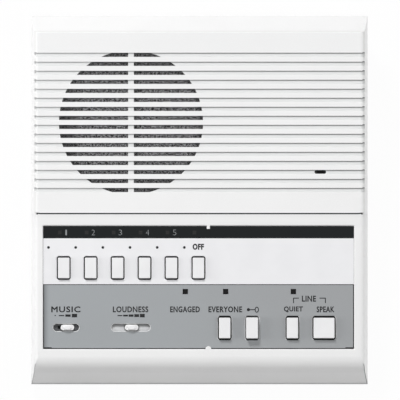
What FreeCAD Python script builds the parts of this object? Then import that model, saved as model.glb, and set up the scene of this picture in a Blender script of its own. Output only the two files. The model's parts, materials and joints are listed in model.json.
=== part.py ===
import FreeCAD, Part
import math
import os

from FreeCAD import Vector

# Desk intercom master station, in millimetres. The world frame has +Z up, +X to the user's right and
# +Y away from the user, with its origin under the middle of the rubber feet. The front cover and
# nearly all that it carries are drawn in the panel frame: u runs to the right, v up the panel and w
# out of it towards the user, with w = 0 on the plane of the cover's rim. seated() tilts it into place.

# Housing
TILT = 7.0                  # degrees, how far the panel leans towards the user
RIM_WIDTH = 210.0
RIM_LENGTH = 230.0
COVER_DEPTH = 28.0
LIP_HEIGHT = 2.0            # upright band around the rim
SIDE_INSET = 2.3            # how far each wall leans in, from rim to face
REAR_INSET = 10.5
FRONT_INSET = 10.0
WALL = 2.5
ROOT = 0.6                  # how far posts and rings run into the face that they grow from
OVERCUT = 1.0               # how far cutters run past the faces that they cut
RIM_BEND = 2.5              # radii on the cover's outer edges
SIDE_EDGE = 2.7
REAR_EDGE = 0.4
FRONT_ROLL = 11.1
FOOT_HEIGHT = 2.5
FOOT_RADIUS = 7.0
FOOT_BEVEL = 0.6
FOOT_SEAT = 0.6             # depth of the recess that each foot is glued in
FOOT_INSET_X = 20.0         # from the rim's side to a foot's middle
FOOT_INSET_Y = 27.0
FRONT_FLOOR_Z = 6.5         # the rim plane's height at the front wall of the base
BASE_INSET = 3.5            # from the cover's rim to the base's wall
BASE_LAP = 3.0              # how far the base reaches up into the cover
BASE_DRAFT_X = 1.8
BASE_DRAFT_Y = 5.5          # how far the rear wall leans in
BASE_BEND = 1.5

# Louvres, grille, microphone slot and seam
LOUVRE_COUNT = 16
LOUVRE_PITCH = 5.616
LOUVRE_MARGIN = 23.2        # from the rim's rear edge to the first groove
LOUVRE_HEIGHT = 2.55
LOUVRE_DEPTH = 0.8
LOUVRE_DROP = 3.0           # how far the grooves run down the side walls
GRILLE_SIDE = 62.3          # from the rim's left edge to the grille's middle
GRILLE_DROP = 43.4          # from the first groove's upper edge to the grille's middle
GRILLE_RADIUS = 44.9
GRILLE_RIB = 3.6
MIC_SIDE = 29.7             # from the rim's right edge
MIC_LOUVRE = 13             # the groove that the microphone slot lies in
MIC_SLOT_LENGTH = 7.2
MIC_SLOT_WIDTH = 2.2
SEAM_MARGIN = 7.3           # from the control opening to the seam
SEAM_WIDTH = 0.8
SEAM_DEPTH = 1.2
SEAM_END = 3.6              # length of the turned-up ends
SEAM_RISE = 0.5

# Control opening and what fills it
OPENING_LEFT_MARGIN = 7.5   # from the rim's edges to the opening
OPENING_RIGHT_MARGIN = 8.7
OPENING_FRONT_MARGIN = 22.2
OPENING_HEIGHT = 76.7
OPENING_CORNER = 0.5
OPENING_EDGE = 0.6          # chamfer around the opening
PANEL_GAP = 0.6             # between the opening's edge and the control panel
STRIP_GAP = 0.225           # between the opening's edge and the strip
PANEL_RECESS = 1.0          # from the face down to the control panel
PLATE_FIT = 0.12            # side gap of the strip and the station plate
PANEL_LINE = 0.45           # shadow line between the station plate and the control panel
STATION_PLATE_RAISE = 0.4
STRIP_HEIGHT = 7.5
STATION_PLATE_HEIGHT = 28.6
CORNER_NOTCH = 4.8
CORNER_NOTCH_DEPTH = 0.45
TAB_U = 5.5
TAB_WIDTH = 1.9
TAB_REACH = 1.8
TAB_CLEARANCE = 0.05
CHASSIS_THICKNESS = 2.0
CHASSIS_LAP_SIDE = 1.4
CHASSIS_LAP_TOP = 7.4
CHASSIS_LAP_BOTTOM = 2.8

# Keys
KEY_PITCH = 16.79
KEY_SIDE = 12.9             # from the opening's left edge to the first key
STATION_KEYS = 5
KEY_ROW_RISE = 10.125       # from the station plate's lower edge to its keys
KEY_WIDTH = 7.0             # at the cap's top
KEY_LENGTH = 12.7
KEY_HOLE_SIDE = 0.8         # from the cap's top edge to the hole's edge, at each side
KEY_HOLE_END = 1.05         # the same at each end
KEY_HOLE_CORNER = 1.5
HOLE_FLARE = 0.35           # chamfer around every opening in the plates
KEY_DRAFT = 0.15            # how much wider each side is at the panel
LOCK_KEY_DRAFT = 0.45
KEY_CORNER = 0.45
KEY_EDGE = 0.3
KEY_TRAVEL = 3.0
STATION_KEY_RISE = 1.4      # from the face to the cap's top
FUNCTION_KEY_RISE = 1.6
LOCK_KEY_RISE = 3.4
FLANGE_LAP = 0.6            # how far a key's flange reaches past its hole
FLANGE_THICKNESS = 1.0
FLANGE_GAP = 0.3            # between the flange and the chassis when the key is up
STEM_SIDE = 3.0
STEM_CLEARANCE = 0.08
SWITCH_HEIGHT = 6.0
SWITCH_FLOOR = 0.8
STEM_END_GAP = 0.3
FUNCTION_ROW_RISE = 13.1    # from the opening's lower edge to its keys
ALL_CALL_SIDE = 80.6        # from the opening's right edge to each key's middle
LOCK_SIDE = 63.5
PRIVATE_SIDE = 38.4
TALK_SIDE = 18.7
TALK_WIDTH = 12.9
TALK_LENGTH = 12.6
SPRING_WIRE = 0.4
SPRING_RADIUS = 2.9         # to the middle of the wire
SPRING_TURNS = 4
WIRE_SIDES = 6              # every spring's wire is drawn six-sided
SPRING_END_GAP = 0.3
SWITCH_WALL_U = 2.6         # from a key's top edge to its switch's side
SWITCH_WALL_V = 1.6
LATCH_THICKNESS = 1.2
LATCH_HEIGHT = 2.6
LATCH_OFFSET = 5.6          # from the keys' row to the latch bar's middle
LATCH_GAP = 0.1
LATCH_END_WALL = 1.5
LATCH_SPRING_ROOM = 4.5
LATCH_SPRING_RADIUS = 0.4
LATCH_SPRING_WIRE = 0.25
LATCH_SPRING_TURNS = 5

# Sliders
SLIDER_ROW_RISE = 13.4      # from the opening's lower edge
SLOT_WIDTH = 4.5
MUSIC_SLOT_SIDE = 14.4      # from the opening's left edge to each slot's middle
MUSIC_SLOT_LENGTH = 16.1
MUSIC_KNOB_SHIFT = 0.8      # from the slot's middle to the knob at rest
VOICE_SLOT_SIDE = 54.7
VOICE_SLOT_LENGTH = 24.3
VOICE_KNOB_SHIFT = 0.5
KNOB_LENGTH = 8.5
KNOB_WIDTH = 3.6
KNOB_RISE = 0.3             # how far the knob's body stands above the face
NUB_LENGTH = 4.8
NUB_WIDTH = 3.0
NUB_HEIGHT = 1.0
NUB_EDGE = 0.7
SLIDER_STEM_WIDTH = 1.6
SLIDER_STEM_LENGTH = 3.0
SLIDER_STEM_REACH = 5.0
SLIDER_GAP = 0.35
SLIDER_END_GAP = 0.15
SHUTTER_WIDTH = 6.5
SHUTTER_THICKNESS = 0.6
SHUTTER_LAP = 0.3
BEZEL_RECESS = 2.0          # from the control panel's top down to the dark bezel
BEZEL_GAP = 0.1
SLIDE_BODY_WIDTH = 10.0
MUSIC_BODY_LENGTH = 21.8
VOICE_BODY_LENGTH = 40.0
VOICE_BODY_HEIGHT = 10.0

# Lamps
LAMP_OFFSET_U = -2.5        # from a key's middle to its lamp
LAMP_DROP = 4.1             # from the opening's upper edge
LAMP_SIDE = 2.2
LAMP_GAP = 0.1
LAMP_HEIGHT = 6.0
LAMP_LEG = 0.5
LAMP_LEG_SPREAD = 1.27
LENS_SIDE = 3.2
LENS_DROP = 4.575           # from the station plate's lower edge
LENS_SHIFT = 0.6            # from a key's middle to its lens
BUSY_LENS_SIDE = 24.55      # from the call-all key to the lens that has no key
LENS_GAP = 0.05
LENS_RISE = 0.1
LENS_DEPTH = 3.2

# Boards and fasteners
BOARD_THICKNESS = 1.6
KEY_BOARD_DROP = 13.5       # from the chassis to the key board
KEY_BOARD_LEFT_INSET = 1.5  # from the opening's edges to the board's
KEY_BOARD_RIGHT_INSET = 4.3
KEY_BOARD_FRONT_INSET = 2.3
KEY_BOARD_REAR_LAP = 1.6
KEY_POST_INSET = 4.0        # from the board's side edges
KEY_POST_FRONT = 28.5       # from the board's front edge to the front posts
KEY_POST_REAR = 13.5        # from its rear edge to the rear posts
KEY_POST_STEP = 2.0         # that one front post stands nearer to the front
KEY_POST_US = (-24.0, 38.0, 24.0)
MAIN_BOARD_DROP = 3.9       # from the cover's face to the main board
MAIN_BOARD_SPEAKER = 54.7   # from the speaker's middle
MAIN_BOARD_SIDE = 8.0       # from the rim's right edge
MAIN_BOARD_MIC = 12.308     # from the microphone's middle to the board's front edge
MAIN_BOARD_MARGIN = 23.0    # from the rim's rear edge
BOARD_POST_INSET = 4.5
POST_RADIUS = 2.8
SCREW_RADIUS = 1.25
SCREW_HEAD_RADIUS = 2.4
SCREW_HEAD_HEIGHT = 1.5
RECESS_DEPTH_SHARE = 0.6    # of the head's height
RECESS_LENGTH_SHARE = 1.1   # of the head's radius
RECESS_WIDTH_SHARE = 0.25   # of the recess's length
SCREW_GAP = 0.05            # radial, around a screw in its hole
KEY_BOARD_SCREW = 6.0       # lengths under the head
MAIN_BOARD_SCREW = 4.6
CLIP_SCREW = 3.6
CHASSIS_SCREW = 3.2
CHASSIS_SCREW_HEAD_RADIUS = 3.6
PILOT_EXTRA = 0.5
HOUSING_SCREW_RADIUS = 1.5
HOUSING_SCREW_HEAD_RADIUS = 2.8
HOUSING_SCREW_HEAD_HEIGHT = 2.0
HOUSING_SCREW_LENGTH = 13.0
HOUSING_SCREW_SEAT = -1.5   # w of the shoulder under the screw's head
BOSS_RADIUS = 3.8
BASE_BOSS_RADIUS = 5.0
BOSS_END = 3.0              # w where a cover boss meets its base boss
HEAD_WELL_GAP = 0.5
FRONT_BOSS_SIDE = 17.0      # from the rim's edges to the housing screws
FRONT_BOSS_INSET = 14.0
REAR_BOSS_SIDE = 13.5
REAR_BOSS_INSET = 17.8
CHASSIS_SCREW_LEFT = 6.5    # from the opening's edges to the outer screws
CHASSIS_SCREW_RIGHT = 5.3
CHASSIS_SCREW_RISE = 3.8
CHASSIS_BOSS_RADIUS = 2.4
CHASSIS_BOSS_CLEARANCE = 0.05
HOOK_US = (-70.0, 2.0, 70.0)
HOOK_WIDTH = 8.0
HOOK_GRIP = 1.6             # how far a hook reaches under the chassis
HOOK_THICKNESS = 2.0
HOOK_GAP = 0.05
HOOK_EDGE_GAP = 0.4

# Loudspeaker, with heights as w in the panel frame and radii about its own axis
CLOTH_RADIUS = 47.3
CLOTH_THICKNESS = 0.5
GASKET_INNER = 41.0
GASKET_THICKNESS = 1.1
SPEAKER_RADIUS = 46.0
SPEAKER_SHEET = 0.8
FRAME_OPENING = 38.5        # inner radius of the speaker's flange
SEAT_RING_GAP = 0.4
SEAT_RING_WALL = 1.4
SEAT_RING_HEIGHT = 2.2
BASKET_DEPTH = 19.1         # from the back of the flange to the front of the basket's floor
BASKET_SHOULDER_RISE = 8.0  # heights over that floor
BASKET_SHOULDER_RADIUS = 24.5
BASKET_LEDGE_RISE = 5.4     # of the ledge that the spider is glued to
BASKET_LEDGE_RADIUS = 22.0
BASKET_CUP_RADIUS = 17.5
BASKET_WINDOWS = 4
BASKET_WINDOW_ANGLE = 52.0
WINDOW_LOW_RISE = 9.5
WINDOW_HIGH_RISE = 18.0
CONE_RADIUS = 34.0
CONE_LIP_WIDTH = 1.0
PAPER = 0.5
NECK_PAPER = 0.7            # the paper's height where it meets the coil
NECK_RISE = 0.8             # from the spider's ledge to the cone's neck
COIL_INNER = 8.0
COIL_WALL = 0.5
COIL_RISE = 1.0             # from the cone's neck to the coil's upper end
COIL_REACH = 3.6            # from the basket's floor down to the coil's lower end
CAP_RISE = 3.0
CAP_STEPS = 6
SURROUND_THICKNESS = 0.4
SURROUND_ROLL = 0.45
SURROUND_STEP = 0.4         # from the cone's and the flange's edge to the roll
SURROUND_OUTER = 40.8
SUSPENSION_GAP = 0.05       # between the moving cone and what centres it
SPIDER_THICKNESS = 0.4
SPIDER_WAVES = 3
SPIDER_WAVE_HEIGHT = 0.5
SPIDER_RIM = 3.5
SPIDER_NECK = 1.0
POLE_RADIUS = 7.65
GAP_OUTER = 8.95            # inner radius of the front plate
PLATE_RADIUS = 21.0
TOP_PLATE_THICKNESS = 2.5
MAGNET_RADIUS = 23.0
MAGNET_INNER = 12.0
MAGNET_HEIGHT = 7.0
YOKE_THICKNESS = 2.5
SPEAKER_BOSS_CIRCLE = 52.5
CLIP_WIDTH = 8.0
CLIP_THICKNESS = 1.0
CLIP_REACH = 8.0            # from the screw towards the speaker's middle
CLIP_TAIL = 3.5
TAG_LENGTH = 14.0
TAG_DEPTH = 5.0
TAG_THICKNESS = 1.2
TAG_PITCH = 8.0
TAG_LUG = 4.0
TAG_LUG_WIDTH = 2.4
TAG_LUG_THICKNESS = 0.5

# Microphone
CAPSULE_RADIUS = 4.85
CAPSULE_HEIGHT = 5.0
BOOT_WALL = 1.5
BOOT_FACE = 0.8
BOOT_PORT = 2.0
MIC_RING_GAP = 0.1
MIC_RING_WALL = 1.3
MIC_RING_HEIGHT = 4.0

# Parts on the main board, hanging from its underside. A capacitor has its distance from the board's
# left or right edge and from its front edge, its radius and its length.
CHIP_SIDE = 34.0            # from the main board's left edge
CHIP_RISE = 28.0            # from its front edge
CHIP_SIZE = (20.0, 4.0, 11.0)
SINK_SIZE = (26.0, 10.0, 17.0)
SINK_FINS = 4
SINK_FIN = 1.2
SINK_BACK = 2.0
CAPACITORS_LEFT = ((10.0, 30.0, 5.0, 13.0), (10.0, 44.0, 5.0, 13.0))
CAPACITORS_RIGHT = ((17.0, 42.0, 4.0, 11.0), (17.0, 10.0, 3.2, 9.0), (29.0, 10.0, 3.2, 9.0))

# Terminal bay under the base, in the world frame
BAY_SIDE = 33.0             # from the rim's right edge
BAY_LENGTH = 54.0
BAY_WIDTH = 40.0
BAY_MARGIN = 33.0           # from the rim's rear edge
BAY_DEPTH = 18.0
BAY_WALL = 2.0
CHANNEL_WIDTH = 12.0
CHANNEL_DEPTH = 7.0
BLOCK_LENGTH = 46.0
BLOCK_WIDTH = 11.0
BLOCK_HEIGHT = 8.5
BLOCK_GAP = 2.0             # from the bay's rear wall
TERMINALS = 6
TERMINAL_PITCH = 7.2
TERMINAL_SCREW_RADIUS = 2.2
TERMINAL_SCREW_DEPTH = 5.0
TERMINAL_SLOT = 0.6
TERMINAL_SCREW_PROUD = 0.6
TAIL_HEIGHT = 4.5
TAIL_WIDTH = 1.2
TAIL_THICKNESS = 0.8
TAIL_SLOT_MARGIN = 1.0
WALL_HOLE_RADIUS = 2.25
WALL_HOLE_SPACING = 83.5

# Leads
LEAD_RADIUS = 0.6
LEAD_BEND = 2.0
RIBBON_THICKNESS = 0.9
LINK_RIBBON_WIDTH = 24.0
LINK_RIBBON_SIDE = 25.3     # from the microphone to the ribbon's middle
LINK_RIBBON_LIFT = 5.0      # above the key board before it turns
LINK_RIBBON_ROOT = 4.0      # from the key board's rear edge
LINK_RIBBON_LAP = 5.0       # from the main board's front edge
RIBBON_BEND = 2.5
LINE_RIBBON_WIDTH = 30.0
LINE_RIBBON_INSET = 9.0     # from the main board's rear edge
LINE_RIBBON_RISE = 5.0
LINE_RIBBON_DROP = 13.0
LEAD_END_GAP = 0.2
LEAD_DROP = 6.0             # how far the leads hang below the part that they come from

# Derived values
HALF_WIDTH = RIM_WIDTH / 2
HALF_LENGTH = RIM_LENGTH / 2
FACE_INSIDE = COVER_DEPTH - WALL
BELOW_FACE = FACE_INSIDE - OVERCUT
ABOVE_FACE = COVER_DEPTH + OVERCUT
INTO_FACE = FACE_INSIDE + ROOT
SINE = math.sin(math.radians(TILT))
COSINE = math.cos(math.radians(TILT))
BASE_FRONT_V = BASE_INSET - HALF_LENGTH
BASE_REAR_V = HALF_LENGTH - BASE_INSET
PANEL_Z = FRONT_FLOOR_Z - BASE_FRONT_V * SINE
PANEL_Y = LIP_HEIGHT * SINE / 2
FRONT_BOSS_U = HALF_WIDTH - FRONT_BOSS_SIDE
FRONT_BOSS_V = FRONT_BOSS_INSET - HALF_LENGTH
REAR_BOSS_U = HALF_WIDTH - REAR_BOSS_SIDE
REAR_BOSS_V = HALF_LENGTH - REAR_BOSS_INSET

LOUVRE_TOP = HALF_LENGTH - LOUVRE_MARGIN
LOUVRE_TOPS = [LOUVRE_TOP - LOUVRE_PITCH * i for i in range(LOUVRE_COUNT)]
GRILLE_U = GRILLE_SIDE - HALF_WIDTH
GRILLE_V = LOUVRE_TOP - GRILLE_DROP
MIC_U = HALF_WIDTH - MIC_SIDE
MIC_V = LOUVRE_TOP - LOUVRE_PITCH * MIC_LOUVRE - LOUVRE_HEIGHT / 2

OPENING_LEFT = OPENING_LEFT_MARGIN - HALF_WIDTH
OPENING_RIGHT = HALF_WIDTH - OPENING_RIGHT_MARGIN
OPENING_U = (OPENING_LEFT + OPENING_RIGHT) / 2
OPENING_WIDTH = OPENING_RIGHT - OPENING_LEFT
OPENING_BOTTOM = OPENING_FRONT_MARGIN - HALF_LENGTH
OPENING_TOP = OPENING_BOTTOM + OPENING_HEIGHT
SEAM_V = OPENING_TOP + SEAM_MARGIN
STRIP_BOTTOM = OPENING_TOP - STRIP_GAP - STRIP_HEIGHT
STATION_PLATE_BOTTOM = STRIP_BOTTOM - STATION_PLATE_HEIGHT
PLATE_LEFT = OPENING_LEFT + PANEL_GAP
PLATE_RIGHT = OPENING_RIGHT - PANEL_GAP
PLATE_BOTTOM = OPENING_BOTTOM + PANEL_GAP
PANEL_TOP = COVER_DEPTH - PANEL_RECESS
PLATE_SEAT = FACE_INSIDE
CHASSIS_BACK = PLATE_SEAT - CHASSIS_THICKNESS
CHASSIS_SCREW_US = (OPENING_LEFT + CHASSIS_SCREW_LEFT, 0.0, OPENING_RIGHT - CHASSIS_SCREW_RIGHT)
CHASSIS_SCREW_V = OPENING_TOP + CHASSIS_SCREW_RISE

KEY_ROW_V = STATION_PLATE_BOTTOM + KEY_ROW_RISE
STATION_US = [OPENING_LEFT + KEY_SIDE + KEY_PITCH * i for i in range(STATION_KEYS + 1)]
FUNCTION_ROW_V = OPENING_BOTTOM + FUNCTION_ROW_RISE
ALL_CALL_U = OPENING_RIGHT - ALL_CALL_SIDE
LOCK_U = OPENING_RIGHT - LOCK_SIDE
PRIVATE_U = OPENING_RIGHT - PRIVATE_SIDE
TALK_U = OPENING_RIGHT - TALK_SIDE
SLIDER_V = OPENING_BOTTOM + SLIDER_ROW_RISE
MUSIC_SLOT_U = OPENING_LEFT + MUSIC_SLOT_SIDE
MUSIC_KNOB_U = MUSIC_SLOT_U + MUSIC_KNOB_SHIFT
VOICE_SLOT_U = OPENING_LEFT + VOICE_SLOT_SIDE
VOICE_KNOB_U = VOICE_SLOT_U + VOICE_KNOB_SHIFT
LAMP_V = OPENING_TOP - LAMP_DROP
LENS_V = STATION_PLATE_BOTTOM - LENS_DROP
LENS_US = (ALL_CALL_U - BUSY_LENS_SIDE, ALL_CALL_U + LENS_SHIFT, PRIVATE_U + LENS_SHIFT)

KEY_BOARD_TOP = CHASSIS_BACK - KEY_BOARD_DROP
KEY_BOARD_BACK = KEY_BOARD_TOP - BOARD_THICKNESS
KEY_BOARD_LEFT = OPENING_LEFT + KEY_BOARD_LEFT_INSET
KEY_BOARD_RIGHT = OPENING_RIGHT - KEY_BOARD_RIGHT_INSET
KEY_BOARD_FRONT = OPENING_BOTTOM + KEY_BOARD_FRONT_INSET
KEY_BOARD_REAR = OPENING_TOP + KEY_BOARD_REAR_LAP
POSTS_LEFT_U = KEY_BOARD_LEFT + KEY_POST_INSET
POSTS_RIGHT_U = KEY_BOARD_RIGHT - KEY_POST_INSET
POSTS_FRONT_V = KEY_BOARD_FRONT + KEY_POST_FRONT
POSTS_REAR_V = KEY_BOARD_REAR - KEY_POST_REAR
KEY_POSTS = (
    (POSTS_LEFT_U, POSTS_FRONT_V), (KEY_POST_US[0], POSTS_FRONT_V),
    (KEY_POST_US[1], POSTS_FRONT_V - KEY_POST_STEP), (POSTS_RIGHT_U, POSTS_FRONT_V),
    (POSTS_LEFT_U, POSTS_REAR_V), (KEY_POST_US[2], POSTS_REAR_V),
    (POSTS_RIGHT_U - KEY_POST_INSET, POSTS_REAR_V),
)
SWITCH_TOP = KEY_BOARD_TOP + SWITCH_HEIGHT
STEM_END = KEY_BOARD_TOP + SWITCH_FLOOR + STEM_END_GAP + KEY_TRAVEL
FLANGE_TOP = CHASSIS_BACK - FLANGE_GAP
FLANGE_BACK = FLANGE_TOP - FLANGE_THICKNESS
VOICE_BODY_TOP = KEY_BOARD_TOP + VOICE_BODY_HEIGHT
SHUTTER_TOP = PLATE_SEAT - SLIDER_GAP
SHUTTER_BACK = SHUTTER_TOP - SHUTTER_THICKNESS
BEZEL_TOP = PANEL_TOP - BEZEL_RECESS

MAIN_BOARD_TOP = FACE_INSIDE - MAIN_BOARD_DROP
MAIN_BOARD_BACK = MAIN_BOARD_TOP - BOARD_THICKNESS
MAIN_BOARD_LEFT = GRILLE_U + MAIN_BOARD_SPEAKER
MAIN_BOARD_RIGHT = HALF_WIDTH - MAIN_BOARD_SIDE
MAIN_BOARD_REAR = HALF_LENGTH - MAIN_BOARD_MARGIN
MAIN_BOARD_FRONT = MIC_V + MAIN_BOARD_MIC
CHIP_U = MAIN_BOARD_LEFT + CHIP_SIDE
CHIP_V = MAIN_BOARD_FRONT + CHIP_RISE
LINK_RIBBON_U = MIC_U - LINK_RIBBON_SIDE
LINK_RIBBON_START = KEY_BOARD_REAR - LINK_RIBBON_ROOT
LINK_RIBBON_END = MAIN_BOARD_FRONT + LINK_RIBBON_LAP
LINE_RIBBON_V = MAIN_BOARD_REAR - LINE_RIBBON_INSET

CLOTH_BACK = FACE_INSIDE - CLOTH_THICKNESS
FLANGE_FRONT_W = CLOTH_BACK - GASKET_THICKNESS
FLANGE_BACK_W = FLANGE_FRONT_W - SPEAKER_SHEET
BASKET_FLOOR = FLANGE_BACK_W - BASKET_DEPTH
BASKET_SHOULDER = BASKET_FLOOR + BASKET_SHOULDER_RISE
BASKET_LEDGE = BASKET_FLOOR + BASKET_LEDGE_RISE
BASKET_WINDOW_LOW = BASKET_FLOOR + WINDOW_LOW_RISE
BASKET_WINDOW_HIGH = BASKET_FLOOR + WINDOW_HIGH_RISE
CONE_NECK = BASKET_LEDGE + NECK_RISE
COIL_TOP = CONE_NECK + COIL_RISE
COIL_END = BASKET_FLOOR - COIL_REACH
COIL_OUTER = COIL_INNER + COIL_WALL
TOP_PLATE_TOP = BASKET_FLOOR - SPEAKER_SHEET
TOP_PLATE_BACK = TOP_PLATE_TOP - TOP_PLATE_THICKNESS
MAGNET_BACK = TOP_PLATE_BACK - MAGNET_HEIGHT

BAY_RIGHT = HALF_WIDTH - BAY_SIDE
BAY_LEFT = BAY_RIGHT - BAY_LENGTH
BAY_REAR = HALF_LENGTH - BAY_MARGIN
BAY_FRONT = BAY_REAR - BAY_WIDTH
BAY_CEILING = FOOT_HEIGHT + BAY_DEPTH
CHANNEL_X = (BAY_LEFT + BAY_RIGHT) / 2
BLOCK_Y = BAY_REAR - BLOCK_GAP - BLOCK_WIDTH / 2
BLOCK_X = CHANNEL_X


# General shapes

def rounded_wire(points, radii):
    """Closed wire through the points, with a tangent arc of its own radius at each corner."""
    starts, ends, edges = [], [], []
    for index, corner in enumerate(points):
        back = (points[index - 1] - corner).normalize()
        onward = (points[(index + 1) % len(points)] - corner).normalize()
        half_angle = back.getAngle(onward) / 2
        reach = radii[index] / math.tan(half_angle)
        starts.append(corner + back * reach)
        ends.append(corner + onward * reach)
    for index, corner in enumerate(points):
        if radii[index] > 0:
            chord_middle = (starts[index] + ends[index]) / 2
            to_middle = (chord_middle - corner).normalize()
            half_angle = to_middle.getAngle(starts[index] - corner)
            apex = corner + to_middle * (radii[index] / math.sin(half_angle) - radii[index])
            edges.append(Part.Arc(starts[index], apex, ends[index]).toShape())
        following = starts[(index + 1) % len(points)]
        if ends[index].distanceToPoint(following) > 1e-6:
            edges.append(Part.makeLine(ends[index], following))
    return Part.Wire(edges)


def prism(points, radii, direction):
    """Solid swept from a rounded flat outline."""
    return Part.Face(rounded_wire(points, radii)).extrude(direction)


def block(u0, u1, v0, v1, w0, w1):
    """Box between three pairs of limits."""
    return Part.makeBox(u1 - u0, v1 - v0, w1 - w0, Vector(u0, v0, w0))


def square_bar(u, v, width, length, w0, w1):
    """Box centred on (u, v)."""
    return block(u - width / 2, u + width / 2, v - length / 2, v + length / 2, w0, w1)


def bar_wire(u, v, width, length, radius, w):
    """Rounded rectangle centred on (u, v)."""
    across, along = width / 2, length / 2
    corners = [
        Vector(u - across, v - along, w),
        Vector(u + across, v - along, w),
        Vector(u + across, v + along, w),
        Vector(u - across, v + along, w),
    ]
    return rounded_wire(corners, [radius] * 4)


def rounded_bar(u, v, width, length, radius, w0, w1):
    """Prism with rounded upright edges, centred on (u, v)."""
    return Part.Face(bar_wire(u, v, width, length, radius, w0)).extrude(Vector(0, 0, w1 - w0))


def slot_bar(u, v, length, width, w0, w1):
    """Prism with fully rounded ends, its length along u."""
    return rounded_bar(u, v, length, width, width / 2, w0, w1)


def post(u, v, radius, w0, w1):
    """Cylinder along w."""
    return Part.makeCylinder(radius, w1 - w0, Vector(u, v, w0))


def tube(u, v, outer, inner, w0, w1):
    """Hollow cylinder along w."""
    return post(u, v, outer, w0, w1).cut(post(u, v, inner, w0, w1))


def turned(u, v, section):
    """Solid of revolution about the w axis through (u, v), from (radius, w) pairs."""
    points = [Vector(u + radius, v, w) for radius, w in section]
    face = Part.Face(Part.makePolygon(points + points[:1]))
    return face.revolve(Vector(u, v, 0), Vector(0, 0, 1), 360)


def joined(shapes):
    """One solid from pieces that touch or overlap."""
    return shapes[0].multiFuse(shapes[1:]).removeSplitter()


def group(shapes):
    """Separate solids of one node."""
    return Part.makeCompound(shapes)


def seated(shape):
    """The shape moved from the panel frame into the world frame."""
    placed = shape.copy()
    placed.rotate(Vector(0, 0, 0), Vector(1, 0, 0), TILT)
    placed.translate(Vector(0, PANEL_Y, PANEL_Z))
    return placed


def world_point(u, v, w):
    """A point of the panel frame, in the world frame."""
    return Vector(u, PANEL_Y + v * COSINE - w * SINE, PANEL_Z + v * SINE + w * COSINE)


def screw(u, v, seat, length, radius, head_radius, head_height):
    """Screw driven along +w, with its head under the seat and a cross recess in the head."""
    shank = post(u, v, radius, seat - head_height / 2, seat + length)
    head = post(u, v, head_radius, seat - head_height, seat)
    depth = head_height * RECESS_DEPTH_SHARE
    recess_w = seat - head_height
    arm = head_radius * RECESS_LENGTH_SHARE
    width = arm * RECESS_WIDTH_SHARE
    recess = joined([
        square_bar(u, v, arm, width, recess_w, recess_w + depth),
        square_bar(u, v, width, arm, recess_w, recess_w + depth),
    ])
    return joined([shank, head]).cut(recess)


def bent_path(points, bend):
    """Open wire of straight runs joined by tangent arcs."""
    edges = []
    reached = points[0]
    for before, corner, after in zip(points, points[1:], points[2:]):
        back = (before - corner).normalize()
        onward = (after - corner).normalize()
        half_angle = back.getAngle(onward) / 2
        reach = bend / math.tan(half_angle)
        start = corner + back * reach
        end = corner + onward * reach
        to_middle = ((start + end) / 2 - corner).normalize()
        apex = corner + to_middle * (bend / math.sin(half_angle) - bend)
        edges.append(Part.makeLine(reached, start))
        edges.append(Part.Arc(start, apex, end).toShape())
        reached = end
    edges.append(Part.makeLine(reached, points[-1]))
    return Part.Wire(edges)


def lead(points):
    """Round wire along a bent path."""
    path = bent_path(points, LEAD_BEND)
    circle = Part.Circle(points[0], (points[1] - points[0]).normalize(), LEAD_RADIUS)
    return path.makePipeShell([Part.Wire([circle.toShape()])], True, False)


def ribbon(points, width, bend):
    """Flat cable of a given width along u or X, following a bent path through its middle."""
    path = bent_path(points, bend)
    heading = (points[1] - points[0]).normalize()
    normal = heading.cross(Vector(1, 0, 0)).normalize() * (RIBBON_THICKNESS / 2)
    across = Vector(width / 2, 0, 0)
    start = points[0]
    corners = [
        start - across - normal, start + across - normal,
        start + across + normal, start - across + normal,
    ]
    section = Part.makePolygon(corners + corners[:1])
    return path.makePipeShell([section], True, False)


# Housing

def wall_line(inset, thickness):
    """Lean of a cover wall per unit of depth, and the sideways shift of a skin that far inside it."""
    lean = inset / (COVER_DEPTH - LIP_HEIGHT)
    return lean, thickness * math.hypot(1, lean)


def cover_section(half_low, half_high, inset_low, inset_high, inside, bottom):
    """Corners of the cover's cross-section as (across, w) pairs, drawn so far inside its outer skin."""
    face = COVER_DEPTH - inside
    corners = []
    for edge, inset, side in ((half_low, inset_low, 1), (half_high, inset_high, -1)):
        lean, shift = wall_line(inset, inside)
        knee = LIP_HEIGHT - (shift - inside) / lean
        top = edge + side * (shift + (face - LIP_HEIGHT) * lean)
        corners.append([(edge + side * inside, bottom), (edge + side * inside, knee), (top, face)])
    return corners[0] + corners[1][::-1]


def across_prism(inside, bottom, radii):
    """The cover's u-w cross-section swept along its whole length."""
    section = cover_section(-HALF_WIDTH, HALF_WIDTH, SIDE_INSET, SIDE_INSET, inside, bottom)
    points = [Vector(u, -HALF_LENGTH, w) for u, w in section]
    return prism(points, radii, Vector(0, RIM_LENGTH, 0))


def along_prism(inside, bottom, radii):
    """The cover's v-w cross-section swept along its whole width."""
    section = cover_section(-HALF_LENGTH, HALF_LENGTH, FRONT_INSET, REAR_INSET, inside, bottom)
    points = [Vector(-HALF_WIDTH, v, w) for v, w in section]
    return prism(points, radii, Vector(RIM_WIDTH, 0, 0))


def cover_shell():
    """Leaning walls and face of even thickness."""
    outer_across = across_prism(0, 0, [0, RIM_BEND, SIDE_EDGE, SIDE_EDGE, RIM_BEND, 0])
    outer_along = along_prism(0, 0, [0, RIM_BEND, FRONT_ROLL, REAR_EDGE, RIM_BEND, 0])
    inner_across = across_prism(WALL, -WALL, [0] * 6)
    inner_along = along_prism(WALL, -WALL, [0, 0, max(FRONT_ROLL - WALL, 0), 0, 0, 0])
    return outer_across.common(outer_along).cut(inner_across.common(inner_along))


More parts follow.
